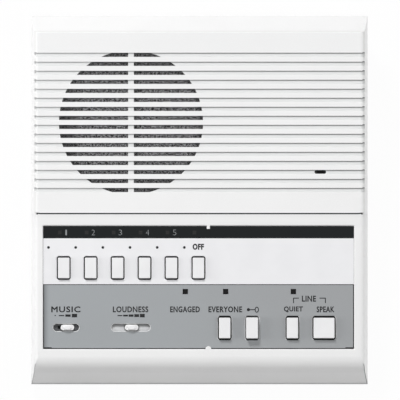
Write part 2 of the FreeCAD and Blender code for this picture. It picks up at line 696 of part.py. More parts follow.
def louvre_cutters():
    """Grooves that follow the face and turn down over its side edges."""
    edge = max(SIDE_EDGE - LOUVRE_DEPTH, 0)
    floor_across = across_prism(LOUVRE_DEPTH, 0, [0, 0, edge, edge, 0, 0])
    cutters = []
    for top in LOUVRE_TOPS:
        bottom = top - LOUVRE_HEIGHT
        band = block(-HALF_WIDTH, HALF_WIDTH, bottom, top, COVER_DEPTH - LOUVRE_DROP, ABOVE_FACE)
        cutters.append(band.cut(floor_across))
    return cutters


def grille_cutters():
    """Slots through the grooves inside the grille's circle, on either side of its rib."""
    circle = post(GRILLE_U, GRILLE_V, GRILLE_RADIUS, BELOW_FACE, ABOVE_FACE)
    rib = square_bar(GRILLE_U, GRILLE_V, GRILLE_RIB, RIM_LENGTH, BELOW_FACE, ABOVE_FACE)
    opened = circle.cut(rib)
    cutters = []
    for top in LOUVRE_TOPS:
        band = block(-HALF_WIDTH, HALF_WIDTH, top - LOUVRE_HEIGHT, top, BELOW_FACE, ABOVE_FACE)
        cutters.append(opened.common(band))
    return cutters


def seam_cutter():
    """Fine groove between the louvred and the control half, with ends that turn up over the edge."""
    end_u = HALF_WIDTH - SIDE_INSET
    turn_u = end_u - SEAM_END
    lower = [(-end_u, SEAM_RISE), (-turn_u, 0), (turn_u, 0), (end_u, SEAM_RISE)]
    upper = [(u, rise + SEAM_WIDTH) for u, rise in reversed(lower)]
    points = [Vector(u, SEAM_V + rise, COVER_DEPTH - SEAM_DEPTH) for u, rise in lower + upper]
    return prism(points, [0] * len(points), Vector(0, 0, SEAM_DEPTH + OVERCUT))


def flare(u, v, width, length, radius, size, top):
    """Cutter for the chamfer around a rounded opening."""
    return Part.makeLoft([
        bar_wire(u, v, width, length, radius, top - size),
        bar_wire(u, v, width + 2 * size, length + 2 * size, radius + size, top),
    ], True, True)


def opening_cutter():
    """The window that the control plates fill."""
    place = (OPENING_U, OPENING_TOP - OPENING_HEIGHT / 2, OPENING_WIDTH, OPENING_HEIGHT, OPENING_CORNER)
    return rounded_bar(*place, BELOW_FACE, ABOVE_FACE).fuse(flare(*place, OPENING_EDGE, COVER_DEPTH))


def opening_tabs():
    """Two small tabs at the window's edges that stand over the plates."""
    low = PANEL_TOP + TAB_CLEARANCE
    top_tab = square_bar(TAB_U, OPENING_TOP, TAB_WIDTH, 2 * TAB_REACH, low, COVER_DEPTH)
    bottom_tab = post(TAB_U, OPENING_BOTTOM, TAB_REACH, low, COVER_DEPTH)
    return [top_tab, bottom_tab]


def housing_screw_places():
    """(u, v) of the four screws that close the housing."""
    return [
        (-FRONT_BOSS_U, FRONT_BOSS_V), (FRONT_BOSS_U, FRONT_BOSS_V),
        (-REAR_BOSS_U, REAR_BOSS_V), (REAR_BOSS_U, REAR_BOSS_V),
    ]


def speaker_screw_places():
    """(u, v) of the four screws around the speaker."""
    step = SPEAKER_BOSS_CIRCLE / math.sqrt(2)
    return [(GRILLE_U + a * step, GRILLE_V + b * step) for a in (-1, 1) for b in (-1, 1)]


def main_board_screw_places():
    """(u, v) of the screws at the main board's corners."""
    us = (MAIN_BOARD_LEFT + BOARD_POST_INSET, MAIN_BOARD_RIGHT - BOARD_POST_INSET)
    vs = (MAIN_BOARD_FRONT + BOARD_POST_INSET, MAIN_BOARD_REAR - BOARD_POST_INSET)
    return [(u, v) for u in us for v in vs]


def pilot(u, v, seat, length, radius):
    """Screw hole from a seat, a little deeper than the screw."""
    return post(u, v, radius + SCREW_GAP, seat, seat + length + PILOT_EXTRA)


def front_cover():
    """Upper shell with louvres, grille, control window and all that is moulded inside it."""
    cutters = louvre_cutters() + grille_cutters() + [seam_cutter(), opening_cutter()]
    cutters.append(slot_bar(MIC_U, MIC_V, MIC_SLOT_LENGTH, MIC_SLOT_WIDTH, BELOW_FACE, ABOVE_FACE))
    shell = cover_shell().cut(cutters)
    room_along = along_prism(WALL / 2, -WALL, [0, 0, max(FRONT_ROLL - WALL / 2, 0), 0, 0, 0])
    room = across_prism(WALL / 2, -WALL, [0] * 6).common(room_along)
    fittings = [post(u, v, BOSS_RADIUS, BOSS_END, INTO_FACE).common(room) for u, v in housing_screw_places()]
    fittings += [post(u, v, POST_RADIUS, FLANGE_BACK_W, INTO_FACE) for u, v in speaker_screw_places()]
    fittings += [post(u, v, POST_RADIUS, MAIN_BOARD_TOP, INTO_FACE) for u, v in main_board_screw_places()]
    boss_end = CHASSIS_BACK + SCREW_GAP
    fittings += [post(u, CHASSIS_SCREW_V, CHASSIS_BOSS_RADIUS, boss_end, INTO_FACE) for u in CHASSIS_SCREW_US]
    ring_inner = CLOTH_RADIUS + SEAT_RING_GAP
    ring_end = FACE_INSIDE - SEAT_RING_HEIGHT
    fittings.append(tube(GRILLE_U, GRILLE_V, ring_inner + SEAT_RING_WALL, ring_inner, ring_end, INTO_FACE))
    mic_inner = CAPSULE_RADIUS + BOOT_WALL + MIC_RING_GAP
    mic_end = FACE_INSIDE - MIC_RING_HEIGHT
    fittings.append(tube(MIC_U, MIC_V, mic_inner + MIC_RING_WALL, mic_inner, mic_end, INTO_FACE))
    fittings += [chassis_hook(u).common(room) for u in HOOK_US]
    housing_grip = HOUSING_SCREW_LENGTH + HOUSING_SCREW_SEAT - BOSS_END
    clip_grip = CLIP_SCREW - CLIP_THICKNESS
    board_grip = MAIN_BOARD_SCREW - BOARD_THICKNESS
    holes = [pilot(u, v, BOSS_END, housing_grip, HOUSING_SCREW_RADIUS) for u, v in housing_screw_places()]
    holes += [pilot(u, v, FLANGE_BACK_W, clip_grip, SCREW_RADIUS) for u, v in speaker_screw_places()]
    holes += [pilot(u, v, MAIN_BOARD_TOP, board_grip, SCREW_RADIUS) for u, v in main_board_screw_places()]
    holes += [pilot(u, CHASSIS_SCREW_V, CHASSIS_BACK, CHASSIS_SCREW, SCREW_RADIUS) for u in CHASSIS_SCREW_US]
    return joined([shell] + fittings + opening_tabs()).cut(holes)


def chassis_hook(u):
    """Ledge on the cover's front wall that the chassis's lower edge rests in."""
    left, right = u - HOOK_WIDTH / 2, u + HOOK_WIDTH / 2
    edge = OPENING_BOTTOM - CHASSIS_LAP_BOTTOM
    back = FRONT_INSET - HALF_LENGTH - WALL
    top = CHASSIS_BACK - HOOK_GAP
    ledge = block(left, right, back, edge + HOOK_GRIP, top - HOOK_THICKNESS, top)
    upright = block(left, right, back, edge - HOOK_EDGE_GAP, top - HOOK_THICKNESS, INTO_FACE)
    return joined([ledge, upright])


def floor_w(v, height):
    """w of the horizontal plane at a world height, at some v."""
    return (height - PANEL_Z - v * SINE) / COSINE


def base_solid(inside):
    """The base's outer form, or its room when drawn inside by the wall, in the panel frame."""
    front = BASE_FRONT_V + inside
    rear = BASE_REAR_V - inside
    height = FOOT_HEIGHT + inside
    top = BASE_LAP + inside
    side = HALF_WIDTH - BASE_INSET - inside
    low = floor_w(rear, height)
    foot = rear - BASE_DRAFT_Y
    along = [(front, top), (front, floor_w(front, height)), (foot, floor_w(foot, height)), (rear, top)]
    across = [(-side, top), (BASE_DRAFT_X - side, low), (side - BASE_DRAFT_X, low), (side, top)]
    bend = max(BASE_BEND - inside, 0)
    along_points = [Vector(-HALF_WIDTH, v, w) for v, w in along]
    across_points = [Vector(u, -HALF_LENGTH, w) for u, w in across]
    lengthwise = prism(along_points, [0, bend, bend, 0], Vector(RIM_WIDTH, 0, 0))
    crosswise = prism(across_points, [0] * 4, Vector(0, RIM_LENGTH, 0))
    return lengthwise.common(crosswise)


def foot_places():
    """World (x, y) of the four feet."""
    x = HALF_WIDTH - FOOT_INSET_X
    y = HALF_LENGTH - FOOT_INSET_Y
    return [(a * x, b * y) for a in (-1, 1) for b in (-1, 1)]


def bay_space(wall, low, high):
    """The terminal bay with its wire channel out to the rear, grown by a wall on its sides and ceiling."""
    bay = block(BAY_LEFT - wall, BAY_RIGHT + wall, BAY_FRONT - wall, BAY_REAR + wall, low, BAY_CEILING + wall)
    side = CHANNEL_WIDTH / 2 + wall
    ceiling = FOOT_HEIGHT + CHANNEL_DEPTH + wall
    channel = block(CHANNEL_X - side, CHANNEL_X + side, BAY_REAR - WALL, high, low, ceiling)
    return joined([bay, channel])


def tail_slot():
    """Slot in the bay's ceiling for the terminal block's tails."""
    length = TERMINAL_PITCH * (TERMINALS - 1) + TAIL_WIDTH + 2 * TAIL_SLOT_MARGIN
    width = TAIL_THICKNESS + 2 * TAIL_SLOT_MARGIN
    low = BAY_CEILING - OVERCUT
    return square_bar(BLOCK_X, BLOCK_Y, length, width, low, BAY_CEILING + BAY_WALL + OVERCUT)


def base_cover():
    """Wedge-shaped bottom shell, in the world frame."""
    body = base_solid(0)
    seat, end = HOUSING_SCREW_SEAT, BOSS_END
    deep = floor_w(REAR_BOSS_V, 0)
    bosses = [post(u, v, BASE_BOSS_RADIUS, deep, end).common(body) for u, v in housing_screw_places()]
    well_radius = HOUSING_SCREW_HEAD_RADIUS + HEAD_WELL_GAP
    wells = [post(u, v, well_radius, deep, seat) for u, v in housing_screw_places()]
    holes = [post(u, v, HOUSING_SCREW_RADIUS + SCREW_GAP, seat, end) for u, v in housing_screw_places()]
    shell = seated(joined([body.cut(base_solid(WALL))] + bosses).cut(wells + holes))
    bay = bay_space(BAY_WALL, FOOT_HEIGHT, HALF_LENGTH).common(seated(body))
    shell = joined([shell, bay]).cut([bay_space(0, 0, HALF_LENGTH), tail_slot()])
    recesses = [post(x, y, FOOT_RADIUS, FOOT_HEIGHT, FOOT_HEIGHT + FOOT_SEAT) for x, y in foot_places()]
    hole_top = FOOT_HEIGHT + WALL + OVERCUT
    wall_holes = [post(0, side * WALL_HOLE_SPACING / 2, WALL_HOLE_RADIUS, 0, hole_top) for side in (-1, 1)]
    return shell.cut(recesses + wall_holes)


def rubber_feet():
    """Four glued feet with a small bevel, in the world frame."""
    section = [
        (0, 0), (FOOT_RADIUS - FOOT_BEVEL, 0), (FOOT_RADIUS, FOOT_BEVEL),
        (FOOT_RADIUS, FOOT_HEIGHT + FOOT_SEAT), (0, FOOT_HEIGHT + FOOT_SEAT),
    ]
    return group([turned(x, y, section) for x, y in foot_places()])


def housing_screws():
    """Four screws from underneath, through the base into the cover's bosses."""
    return group([
        screw(
            u, v, HOUSING_SCREW_SEAT, HOUSING_SCREW_LENGTH,
            HOUSING_SCREW_RADIUS, HOUSING_SCREW_HEAD_RADIUS, HOUSING_SCREW_HEAD_HEIGHT,
        )
        for u, v in housing_screw_places()
    ])


# Control plates and their chassis

def key_places():
    """(name, u, v, cap width, cap length, rise over the face, draft) of every key."""
    row = [
        (f"station_key_{i + 1}", STATION_US[i], KEY_ROW_V, KEY_WIDTH, KEY_LENGTH, STATION_KEY_RISE, KEY_DRAFT)
        for i in range(STATION_KEYS)
    ]
    row.append(("off_key", STATION_US[-1], KEY_ROW_V, KEY_WIDTH, KEY_LENGTH, STATION_KEY_RISE, KEY_DRAFT))
    return row + [
        ("all_call_key", ALL_CALL_U, FUNCTION_ROW_V, KEY_WIDTH, KEY_LENGTH, FUNCTION_KEY_RISE, KEY_DRAFT),
        ("lock_key", LOCK_U, FUNCTION_ROW_V, KEY_WIDTH, KEY_LENGTH, LOCK_KEY_RISE, LOCK_KEY_DRAFT),
        ("private_key", PRIVATE_U, FUNCTION_ROW_V, KEY_WIDTH, KEY_LENGTH, FUNCTION_KEY_RISE, KEY_DRAFT),
        ("talk_key", TALK_U, FUNCTION_ROW_V, TALK_WIDTH, TALK_LENGTH, FUNCTION_KEY_RISE, KEY_DRAFT),
    ]


def flared_bar(u, v, width, length, radius, top):
    """Cutter for an opening through the plates and the chassis, with a chamfer at the top."""
    straight = rounded_bar(u, v, width, length, radius, CHASSIS_BACK - OVERCUT, top + OVERCUT)
    return straight.fuse(flare(u, v, width, length, radius, HOLE_FLARE, top))


def key_openings(v_row, top):
    """Cutters for the keys of one row."""
    return [
        flared_bar(u, v, width + 2 * KEY_HOLE_SIDE, length + 2 * KEY_HOLE_END, KEY_HOLE_CORNER, top)
        for _, u, v, width, length, *_ in key_places() if v == v_row
    ]


def slider_openings(top):
    """Cutters for the two sliders' slots."""
    slots = ((MUSIC_SLOT_U, MUSIC_SLOT_LENGTH), (VOICE_SLOT_U, VOICE_SLOT_LENGTH))
    return [flared_bar(u, SLIDER_V, length, SLOT_WIDTH, SLOT_WIDTH / 2, top) for u, length in slots]


def shutter_half():
    """Half the length of the shutter that covers the voice slot."""
    return VOICE_SLOT_LENGTH - KNOB_LENGTH / 2 - SLIDER_END_GAP + SHUTTER_LAP


def shutter_pocket():
    """Pocket in the chassis's top, under the control panel, that the shutter slides in."""
    travel = VOICE_SLOT_LENGTH - KNOB_LENGTH
    length = 2 * shutter_half() + travel + 2 * SLIDER_GAP
    width = SHUTTER_WIDTH + 2 * SLIDER_GAP
    low = SHUTTER_BACK - SLIDER_GAP
    return square_bar(VOICE_SLOT_U, SLIDER_V, length, width, low, PLATE_SEAT + OVERCUT)


def lens_openings():
    """Cutters for the square status lenses."""
    side = LENS_SIDE + 2 * LENS_GAP
    return [square_bar(u, LENS_V, side, side, CHASSIS_BACK - OVERCUT, PANEL_TOP + OVERCUT) for u in LENS_US]


def lamp_us():
    """u of each station lamp."""
    return [u + LAMP_OFFSET_U for u in STATION_US]


def control_panel():
    """Lower plate with the function keys and sliders."""
    edge = STATION_PLATE_BOTTOM - PANEL_LINE
    plate = block(PLATE_LEFT, PLATE_RIGHT, PLATE_BOTTOM, edge, PLATE_SEAT, PANEL_TOP)
    notch_top = PLATE_BOTTOM + CORNER_NOTCH_DEPTH
    left = block(PLATE_LEFT, PLATE_LEFT + CORNER_NOTCH, PLATE_BOTTOM, notch_top, PLATE_SEAT, PANEL_TOP)
    right = block(PLATE_RIGHT - CORNER_NOTCH, PLATE_RIGHT, PLATE_BOTTOM, notch_top, PLATE_SEAT, PANEL_TOP)
    openings = key_openings(FUNCTION_ROW_V, PANEL_TOP) + slider_openings(PANEL_TOP) + lens_openings()
    return plate.cut(openings + [left, right])


def station_plate():
    """Upper plate with the station keys."""
    top = PANEL_TOP + STATION_PLATE_RAISE
    left, right = OPENING_LEFT + PLATE_FIT, OPENING_RIGHT - PLATE_FIT
    plate = block(left, right, STATION_PLATE_BOTTOM, STRIP_BOTTOM, PLATE_SEAT, top)
    return plate.cut(key_openings(KEY_ROW_V, top))


def indicator_strip():
    """Smoked window over the station lamps."""
    left, right = OPENING_LEFT + PLATE_FIT, OPENING_RIGHT - PLATE_FIT
    top_v = OPENING_TOP - STRIP_GAP
    return block(left, right, STRIP_BOTTOM, top_v, PLATE_SEAT, PANEL_TOP)


def control_chassis():
    """Moulded frame behind the plates, with posts for the key board."""
    left = OPENING_LEFT - CHASSIS_LAP_SIDE
    right = OPENING_RIGHT + CHASSIS_LAP_SIDE
    bottom = OPENING_BOTTOM - CHASSIS_LAP_BOTTOM
    plate = block(left, right, bottom, OPENING_TOP + CHASSIS_LAP_TOP, CHASSIS_BACK, PLATE_SEAT)
    lamp_hole = LAMP_SIDE + 2 * LAMP_GAP
    openings = key_openings(FUNCTION_ROW_V, PANEL_TOP) + key_openings(KEY_ROW_V, PANEL_TOP)
    openings += slider_openings(PANEL_TOP) + lens_openings() + [shutter_pocket()]
    below = CHASSIS_BACK - OVERCUT
    openings += [square_bar(u, LAMP_V, lamp_hole, lamp_hole, below, PANEL_TOP) for u in lamp_us()]
    boss_hole = CHASSIS_BOSS_RADIUS + CHASSIS_BOSS_CLEARANCE
    openings += [post(u, CHASSIS_SCREW_V, boss_hole, below, PANEL_TOP) for u in CHASSIS_SCREW_US]
    posts = [post(u, v, POST_RADIUS, KEY_BOARD_TOP, CHASSIS_BACK) for u, v in KEY_POSTS]
    grip = KEY_BOARD_SCREW - BOARD_THICKNESS
    pilots = [pilot(u, v, KEY_BOARD_TOP, grip, SCREW_RADIUS) for u, v in KEY_POSTS]
    return joined([plate.cut(openings)] + posts).cut(pilots)


def chassis_screws():
    """Screws that hold the chassis's upper edge against the cover."""
    return group([
        screw(
            u, CHASSIS_SCREW_V, CHASSIS_BACK, CHASSIS_SCREW,
            SCREW_RADIUS, CHASSIS_SCREW_HEAD_RADIUS, SCREW_HEAD_HEIGHT,
        )
        for u in CHASSIS_SCREW_US
    ])


# Keys and switches

def key(u, v, width, length, rise, draft):
    """Drafted cap on a retaining flange, with a square stem down into its switch."""
    top = COVER_DEPTH + rise
    foot_width = width + 2 * draft
    foot_length = length + 2 * draft
    cap = Part.makeLoft([
        bar_wire(u, v, foot_width, foot_length, KEY_CORNER + draft, PLATE_SEAT),
        bar_wire(u, v, width, length, KEY_CORNER, top),
    ], True, True)
    rim = [edge for edge in cap.Edges if edge.BoundBox.ZMin > top - 1e-3]
    cap = cap.makeFillet(KEY_EDGE, rim)
    skirt = rounded_bar(u, v, foot_width, foot_length, KEY_CORNER + draft, FLANGE_BACK, PLATE_SEAT)
    flange_width = width + 2 * (KEY_HOLE_SIDE + FLANGE_LAP)
    flange_length = length + 2 * (KEY_HOLE_END + FLANGE_LAP)
    flange = square_bar(u, v, flange_width, flange_length, FLANGE_BACK, FLANGE_TOP)
    stem = square_bar(u, v, STEM_SIDE, STEM_SIDE, STEM_END, FLANGE_BACK)
    return joined([cap, skirt, flange, stem])


def coil_spring(start, axis, length, radius, wire, turns):
    """Helical spring from a start point along an axis."""
    run = length - wire
    helix = Part.makeHelix(run / turns, run, radius)
    slope = math.atan2(run / turns, 2 * math.pi * radius)
    outward = Vector(1, 0, 0)
    upward = Vector(0, -math.sin(slope), math.cos(slope))
    points = []
    for index in range(WIRE_SIDES):
        angle = 2 * math.pi * (index + 0.5) / WIRE_SIDES
        points.append(outward * (radius + wire / 2 * math.cos(angle)) + upward * (wire / 2 * math.sin(angle)))
    section = Part.makePolygon(points + points[:1])
    spring = Part.Wire(helix.Edges).makePipeShell([section], True, True)
    turn = FreeCAD.Rotation(Vector(0, 0, 1), axis)
    spring.Placement = FreeCAD.Placement(start + axis * (wire / 2), turn)
    return spring


def key_springs(v_row):
    """Return springs of one row, each around its key's stem."""
    low = SWITCH_TOP + SPRING_END_GAP
    length = FLANGE_BACK - SPRING_END_GAP - low
    return group([
        coil_spring(Vector(u, v, low), Vector(0, 0, 1), length, SPRING_RADIUS, SPRING_WIRE, SPRING_TURNS)
        for _, u, v, *_ in key_places() if v == v_row
    ])


def stem_socket(u, v):
    """Square socket of a key's stem in its switch."""
    side = STEM_SIDE + 2 * STEM_CLEARANCE
    return square_bar(u, v, side, side, KEY_BOARD_TOP + SWITCH_FLOOR, SWITCH_TOP + OVERCUT)


def bank_limits():
    """u at both ends and v at both sides of the station switch bank."""
    half_u = KEY_WIDTH / 2 + SWITCH_WALL_U
    half_v = KEY_LENGTH / 2 + SWITCH_WALL_V
    return STATION_US[0] - half_u, STATION_US[-1] + half_u, KEY_ROW_V - half_v, KEY_ROW_V + half_v


def latch_groove():
    """u at both ends of the latch bar's groove, and v of its middle."""
    left, right, _, _ = bank_limits()
    return left + LATCH_END_WALL, right - LATCH_END_WALL, KEY_ROW_V + LATCH_OFFSET


def station_switch_bank():
    """Row of ganged switches with the groove of their latch bar."""
    left, right, front, rear = bank_limits()
    body = block(left, right, front, rear, KEY_BOARD_TOP, SWITCH_TOP)
    groove_left, groove_right, middle = latch_groove()
    half = LATCH_THICKNESS / 2 + LATCH_GAP
    bottom = SWITCH_TOP - LATCH_HEIGHT - LATCH_GAP
    groove = block(groove_left, groove_right, middle - half, middle + half, bottom, SWITCH_TOP + OVERCUT)
    sockets = [stem_socket(u, KEY_ROW_V) for u in STATION_US]
    return body.cut(sockets + [groove])


def latch_bar():
    """Sliding bar that holds a pressed station key down and lets the others up."""
    left, right, middle = latch_groove()
    half = LATCH_THICKNESS / 2
    return block(
        left + SPRING_END_GAP, right - LATCH_SPRING_ROOM, middle - half, middle + half,
        SWITCH_TOP - LATCH_HEIGHT, SWITCH_TOP,
    )


def latch_spring():
    """Small spring that pushes the latch bar back."""
    _, right, middle = latch_groove()
    start = Vector(right - LATCH_SPRING_ROOM + SPRING_END_GAP, middle, SWITCH_TOP - LATCH_HEIGHT / 2)
    length = LATCH_SPRING_ROOM - 2 * SPRING_END_GAP
    return coil_spring(
        start, Vector(1, 0, 0), length, LATCH_SPRING_RADIUS, LATCH_SPRING_WIRE, LATCH_SPRING_TURNS,
    )


def function_switches():
    """One switch under each key of the lower row."""
    switches = []
    for _, u, v, width, length, *_ in key_places():
        if v == FUNCTION_ROW_V:
            across = width + 2 * SWITCH_WALL_U
            along = length + 2 * SWITCH_WALL_V
            body = square_bar(u, v, across, along, KEY_BOARD_TOP, SWITCH_TOP)
            switches.append(body.cut(stem_socket(u, v)))
    return group(switches)


# Sliders

def slider_knob(u, body_low, stem_top, stem_low):
    """Rounded knob with a raised nub and a flat stem."""
    top = COVER_DEPTH + KNOB_RISE
    body = slot_bar(u, SLIDER_V, KNOB_LENGTH, KNOB_WIDTH, body_low, top)
    rim = [edge for edge in body.Edges if edge.BoundBox.ZMin > top - 1e-3]
    body = body.makeFillet(KEY_EDGE, rim)
    nub = slot_bar(u, SLIDER_V, NUB_LENGTH, NUB_WIDTH, top - NUB_HEIGHT, top + NUB_HEIGHT)
    crest = [edge for edge in nub.Edges if edge.BoundBox.ZMin > top + NUB_HEIGHT - 1e-3]
    nub = nub.makeFillet(NUB_EDGE, crest)
    stem = square_bar(u, SLIDER_V, SLIDER_STEM_LENGTH, SLIDER_STEM_WIDTH, stem_low, stem_top)
    return [body, nub, stem]


def slider_slit(u, slot_length, low, high):
    """Slit that a slider's stem runs in."""
    length = slot_length - KNOB_LENGTH + SLIDER_STEM_LENGTH
    width = SLIDER_STEM_WIDTH + 2 * STEM_CLEARANCE
    return square_bar(u, SLIDER_V, length, width, low, high)


def music_slider_knob():
    """Knob that runs over the dark bezel of the music switch."""
    low = BEZEL_TOP + SLIDER_END_GAP
    return joined(slider_knob(MUSIC_KNOB_U, low, low, BEZEL_TOP - SLIDER_STEM_REACH))


def music_slide_switch():
    """Slide switch on the key board, with a dark bezel that fills the slot's floor."""
    top = CHASSIS_BACK - SLIDER_GAP
    body = square_bar(MUSIC_SLOT_U, SLIDER_V, MUSIC_BODY_LENGTH, SLIDE_BODY_WIDTH, KEY_BOARD_TOP, top)
    length = MUSIC_SLOT_LENGTH - 2 * BEZEL_GAP
    width = SLOT_WIDTH - 2 * BEZEL_GAP
    bezel = slot_bar(MUSIC_SLOT_U, SLIDER_V, length, width, top, BEZEL_TOP)
    low = BEZEL_TOP - SLIDER_STEM_REACH - STEM_END_GAP
    return joined([body, bezel]).cut(slider_slit(MUSIC_SLOT_U, MUSIC_SLOT_LENGTH, low, BEZEL_TOP + OVERCUT))


def voice_slider_knob():
    """Knob on a long shutter that always covers its slot."""
    length = 2 * shutter_half()
    shutter = square_bar(VOICE_KNOB_U, SLIDER_V, length, SHUTTER_WIDTH, SHUTTER_BACK, SHUTTER_TOP)
    knob = slider_knob(VOICE_KNOB_U, SHUTTER_TOP, SHUTTER_BACK, VOICE_BODY_TOP - SLIDER_STEM_REACH)
    return joined(knob + [shutter])


def voice_slide_control():
    """Slide potentiometer on the key board."""
    body = square_bar(
        VOICE_SLOT_U, SLIDER_V, VOICE_BODY_LENGTH, SLIDE_BODY_WIDTH, KEY_BOARD_TOP, VOICE_BODY_TOP,
    )
    low = VOICE_BODY_TOP - SLIDER_STEM_REACH - STEM_END_GAP
    return body.cut(slider_slit(VOICE_SLOT_U, VOICE_SLOT_LENGTH, low, VOICE_BODY_TOP + OVERCUT))


# Lamps

def lamp(u, v, top):
    """Square lamp on two legs down to the key board."""
    bottom = top - LAMP_HEIGHT
    body = square_bar(u, v, LAMP_SIDE, LAMP_SIDE, bottom, top)
    leg_us = [u + side * LAMP_LEG_SPREAD / 2 for side in (-1, 1)]
    legs = [square_bar(leg_u, v, LAMP_LEG, LAMP_LEG, KEY_BOARD_TOP, bottom) for leg_u in leg_us]
    return joined([body] + legs)


def station_leds():
    """One lamp beside each station number."""
    return group([lamp(u, LAMP_V, PLATE_SEAT - LAMP_GAP) for u in lamp_us()])


def status_leds():
    """Lamps under the square lenses."""
    top = PANEL_TOP + LENS_RISE - LENS_DEPTH - LAMP_GAP
    return group([lamp(u, LENS_V, top) for u in LENS_US])


def status_lenses():
    """Smoked square lenses, a little proud of the panel."""
    top = PANEL_TOP + LENS_RISE
    return group([square_bar(u, LENS_V, LENS_SIDE, LENS_SIDE, top - LENS_DEPTH, top) for u in LENS_US])


# Loudspeaker

def speaker_cloth():
    """Dust cloth behind the grille."""
    return post(GRILLE_U, GRILLE_V, CLOTH_RADIUS, CLOTH_BACK, FACE_INSIDE)


def speaker_gasket():
    """Paper ring between the cloth and the speaker's flange."""
    return tube(GRILLE_U, GRILLE_V, SPEAKER_RADIUS, GASKET_INNER, FLANGE_FRONT_W, CLOTH_BACK)


def speaker_frame():
    """Pressed steel basket with four windows."""
    sheet = SPEAKER_SHEET
    under = [
        (SPEAKER_RADIUS, FLANGE_BACK_W),
        (FRAME_OPENING + sheet, FLANGE_BACK_W),
        (BASKET_SHOULDER_RADIUS + sheet, BASKET_SHOULDER - sheet / 2),
        (BASKET_LEDGE_RADIUS + sheet / 2, BASKET_LEDGE - sheet),
        (BASKET_CUP_RADIUS + sheet, BASKET_LEDGE - sheet),
        (BASKET_CUP_RADIUS + sheet, BASKET_FLOOR - sheet),
        (MAGNET_INNER, BASKET_FLOOR - sheet),
    ]
    over = [
        (MAGNET_INNER, BASKET_FLOOR),
        (BASKET_CUP_RADIUS, BASKET_FLOOR),
        (BASKET_CUP_RADIUS, BASKET_LEDGE),
        (BASKET_LEDGE_RADIUS, BASKET_LEDGE),
        (BASKET_SHOULDER_RADIUS, BASKET_SHOULDER),
        (FRAME_OPENING, FLANGE_BACK_W + sheet / 4),
        (FRAME_OPENING, FLANGE_FRONT_W),
        (SPEAKER_RADIUS, FLANGE_FRONT_W),
    ]
    basket = turned(GRILLE_U, GRILLE_V, under + over)
    corners = [
        (BASKET_CUP_RADIUS, BASKET_WINDOW_LOW), (SPEAKER_RADIUS, BASKET_WINDOW_LOW),
        (SPEAKER_RADIUS, BASKET_WINDOW_HIGH), (BASKET_CUP_RADIUS, BASKET_WINDOW_HIGH),
    ]
    points = [Vector(GRILLE_U + radius, GRILLE_V, w) for radius, w in corners]
    middle = Vector(GRILLE_U, GRILLE_V, 0)
    face = Part.Face(Part.makePolygon(points + points[:1]))
    windows = []
    for index in range(BASKET_WINDOWS):
        window = face.revolve(middle, Vector(0, 0, 1), BASKET_WINDOW_ANGLE)
        window.rotate(middle, Vector(0, 0, 1), (index + 0.5) * 360 / BASKET_WINDOWS - BASKET_WINDOW_ANGLE / 2)
        windows.append(window)
    return basket.cut(windows)


def speaker_top_plate():
    """Steel ring around the voice coil's gap."""
    return tube(GRILLE_U, GRILLE_V, PLATE_RADIUS, GAP_OUTER, TOP_PLATE_BACK, TOP_PLATE_TOP)


def speaker_magnet():
    """Ferrite ring."""
    return tube(GRILLE_U, GRILLE_V, MAGNET_RADIUS, MAGNET_INNER, MAGNET_BACK, TOP_PLATE_BACK)


def speaker_yoke():
    """Back plate and pole."""
    plate = post(GRILLE_U, GRILLE_V, PLATE_RADIUS, MAGNET_BACK - YOKE_THICKNESS, MAGNET_BACK)
    return joined([plate, post(GRILLE_U, GRILLE_V, POLE_RADIUS, MAGNET_BACK, TOP_PLATE_TOP)])


def speaker_cone():
    """Paper cone with a flat lip."""
    top = FLANGE_FRONT_W
    inner_edge = CONE_RADIUS - CONE_LIP_WIDTH
    section = [
        (CONE_RADIUS, top), (CONE_RADIUS, top - PAPER), (inner_edge + PAPER / 2, top - PAPER),
        (COIL_OUTER, CONE_NECK), (COIL_OUTER, CONE_NECK + NECK_PAPER), (inner_edge, top),
    ]
    return turned(GRILLE_U, GRILLE_V, section)


def speaker_surround():
    """Rolled cloth edge between the cone and the flange."""
    low = FLANGE_FRONT_W + SUSPENSION_GAP
    high = low + SURROUND_THICKNESS
    inner = CONE_RADIUS - CONE_LIP_WIDTH
    roll_in, roll_out = CONE_RADIUS + SURROUND_STEP, FRAME_OPENING + SURROUND_STEP
    third = (roll_out - roll_in) / 3
    crest = high + SURROUND_ROLL - SUSPENSION_GAP
    section = [
        (inner, low), (roll_in, low), (roll_in + third, crest - SURROUND_THICKNESS),
        (roll_out - third, crest - SURROUND_THICKNESS), (roll_out, low), (SURROUND_OUTER, low),
        (SURROUND_OUTER, high), (roll_out, high), (roll_out - third, crest), (roll_in + third, crest),
        (roll_in, high), (inner, high),
    ]
    return turned(GRILLE_U, GRILLE_V, section)


def speaker_spider():
    """Corrugated disc that centres the voice coil."""
    inner = COIL_OUTER + SUSPENSION_GAP
    outer = BASKET_LEDGE_RADIUS - SUSPENSION_GAP
    flat = outer - SPIDER_RIM
    first = inner + SPIDER_NECK
    step = (flat - first) / (2 * SPIDER_WAVES)
    crests = range(2 * SPIDER_WAVES + 1)
    wave = [(first + step * i, BASKET_LEDGE + SPIDER_WAVE_HEIGHT * (i % 2)) for i in crests]
    under = [(inner, BASKET_LEDGE)] + wave + [(outer, BASKET_LEDGE)]
    over = [(radius, w + SPIDER_THICKNESS) for radius, w in reversed(under)]
    return turned(GRILLE_U, GRILLE_V, under + over)


def speaker_coil():
    """Voice coil on its former."""
    return tube(GRILLE_U, GRILLE_V, COIL_OUTER, COIL_INNER, COIL_END, COIL_TOP)


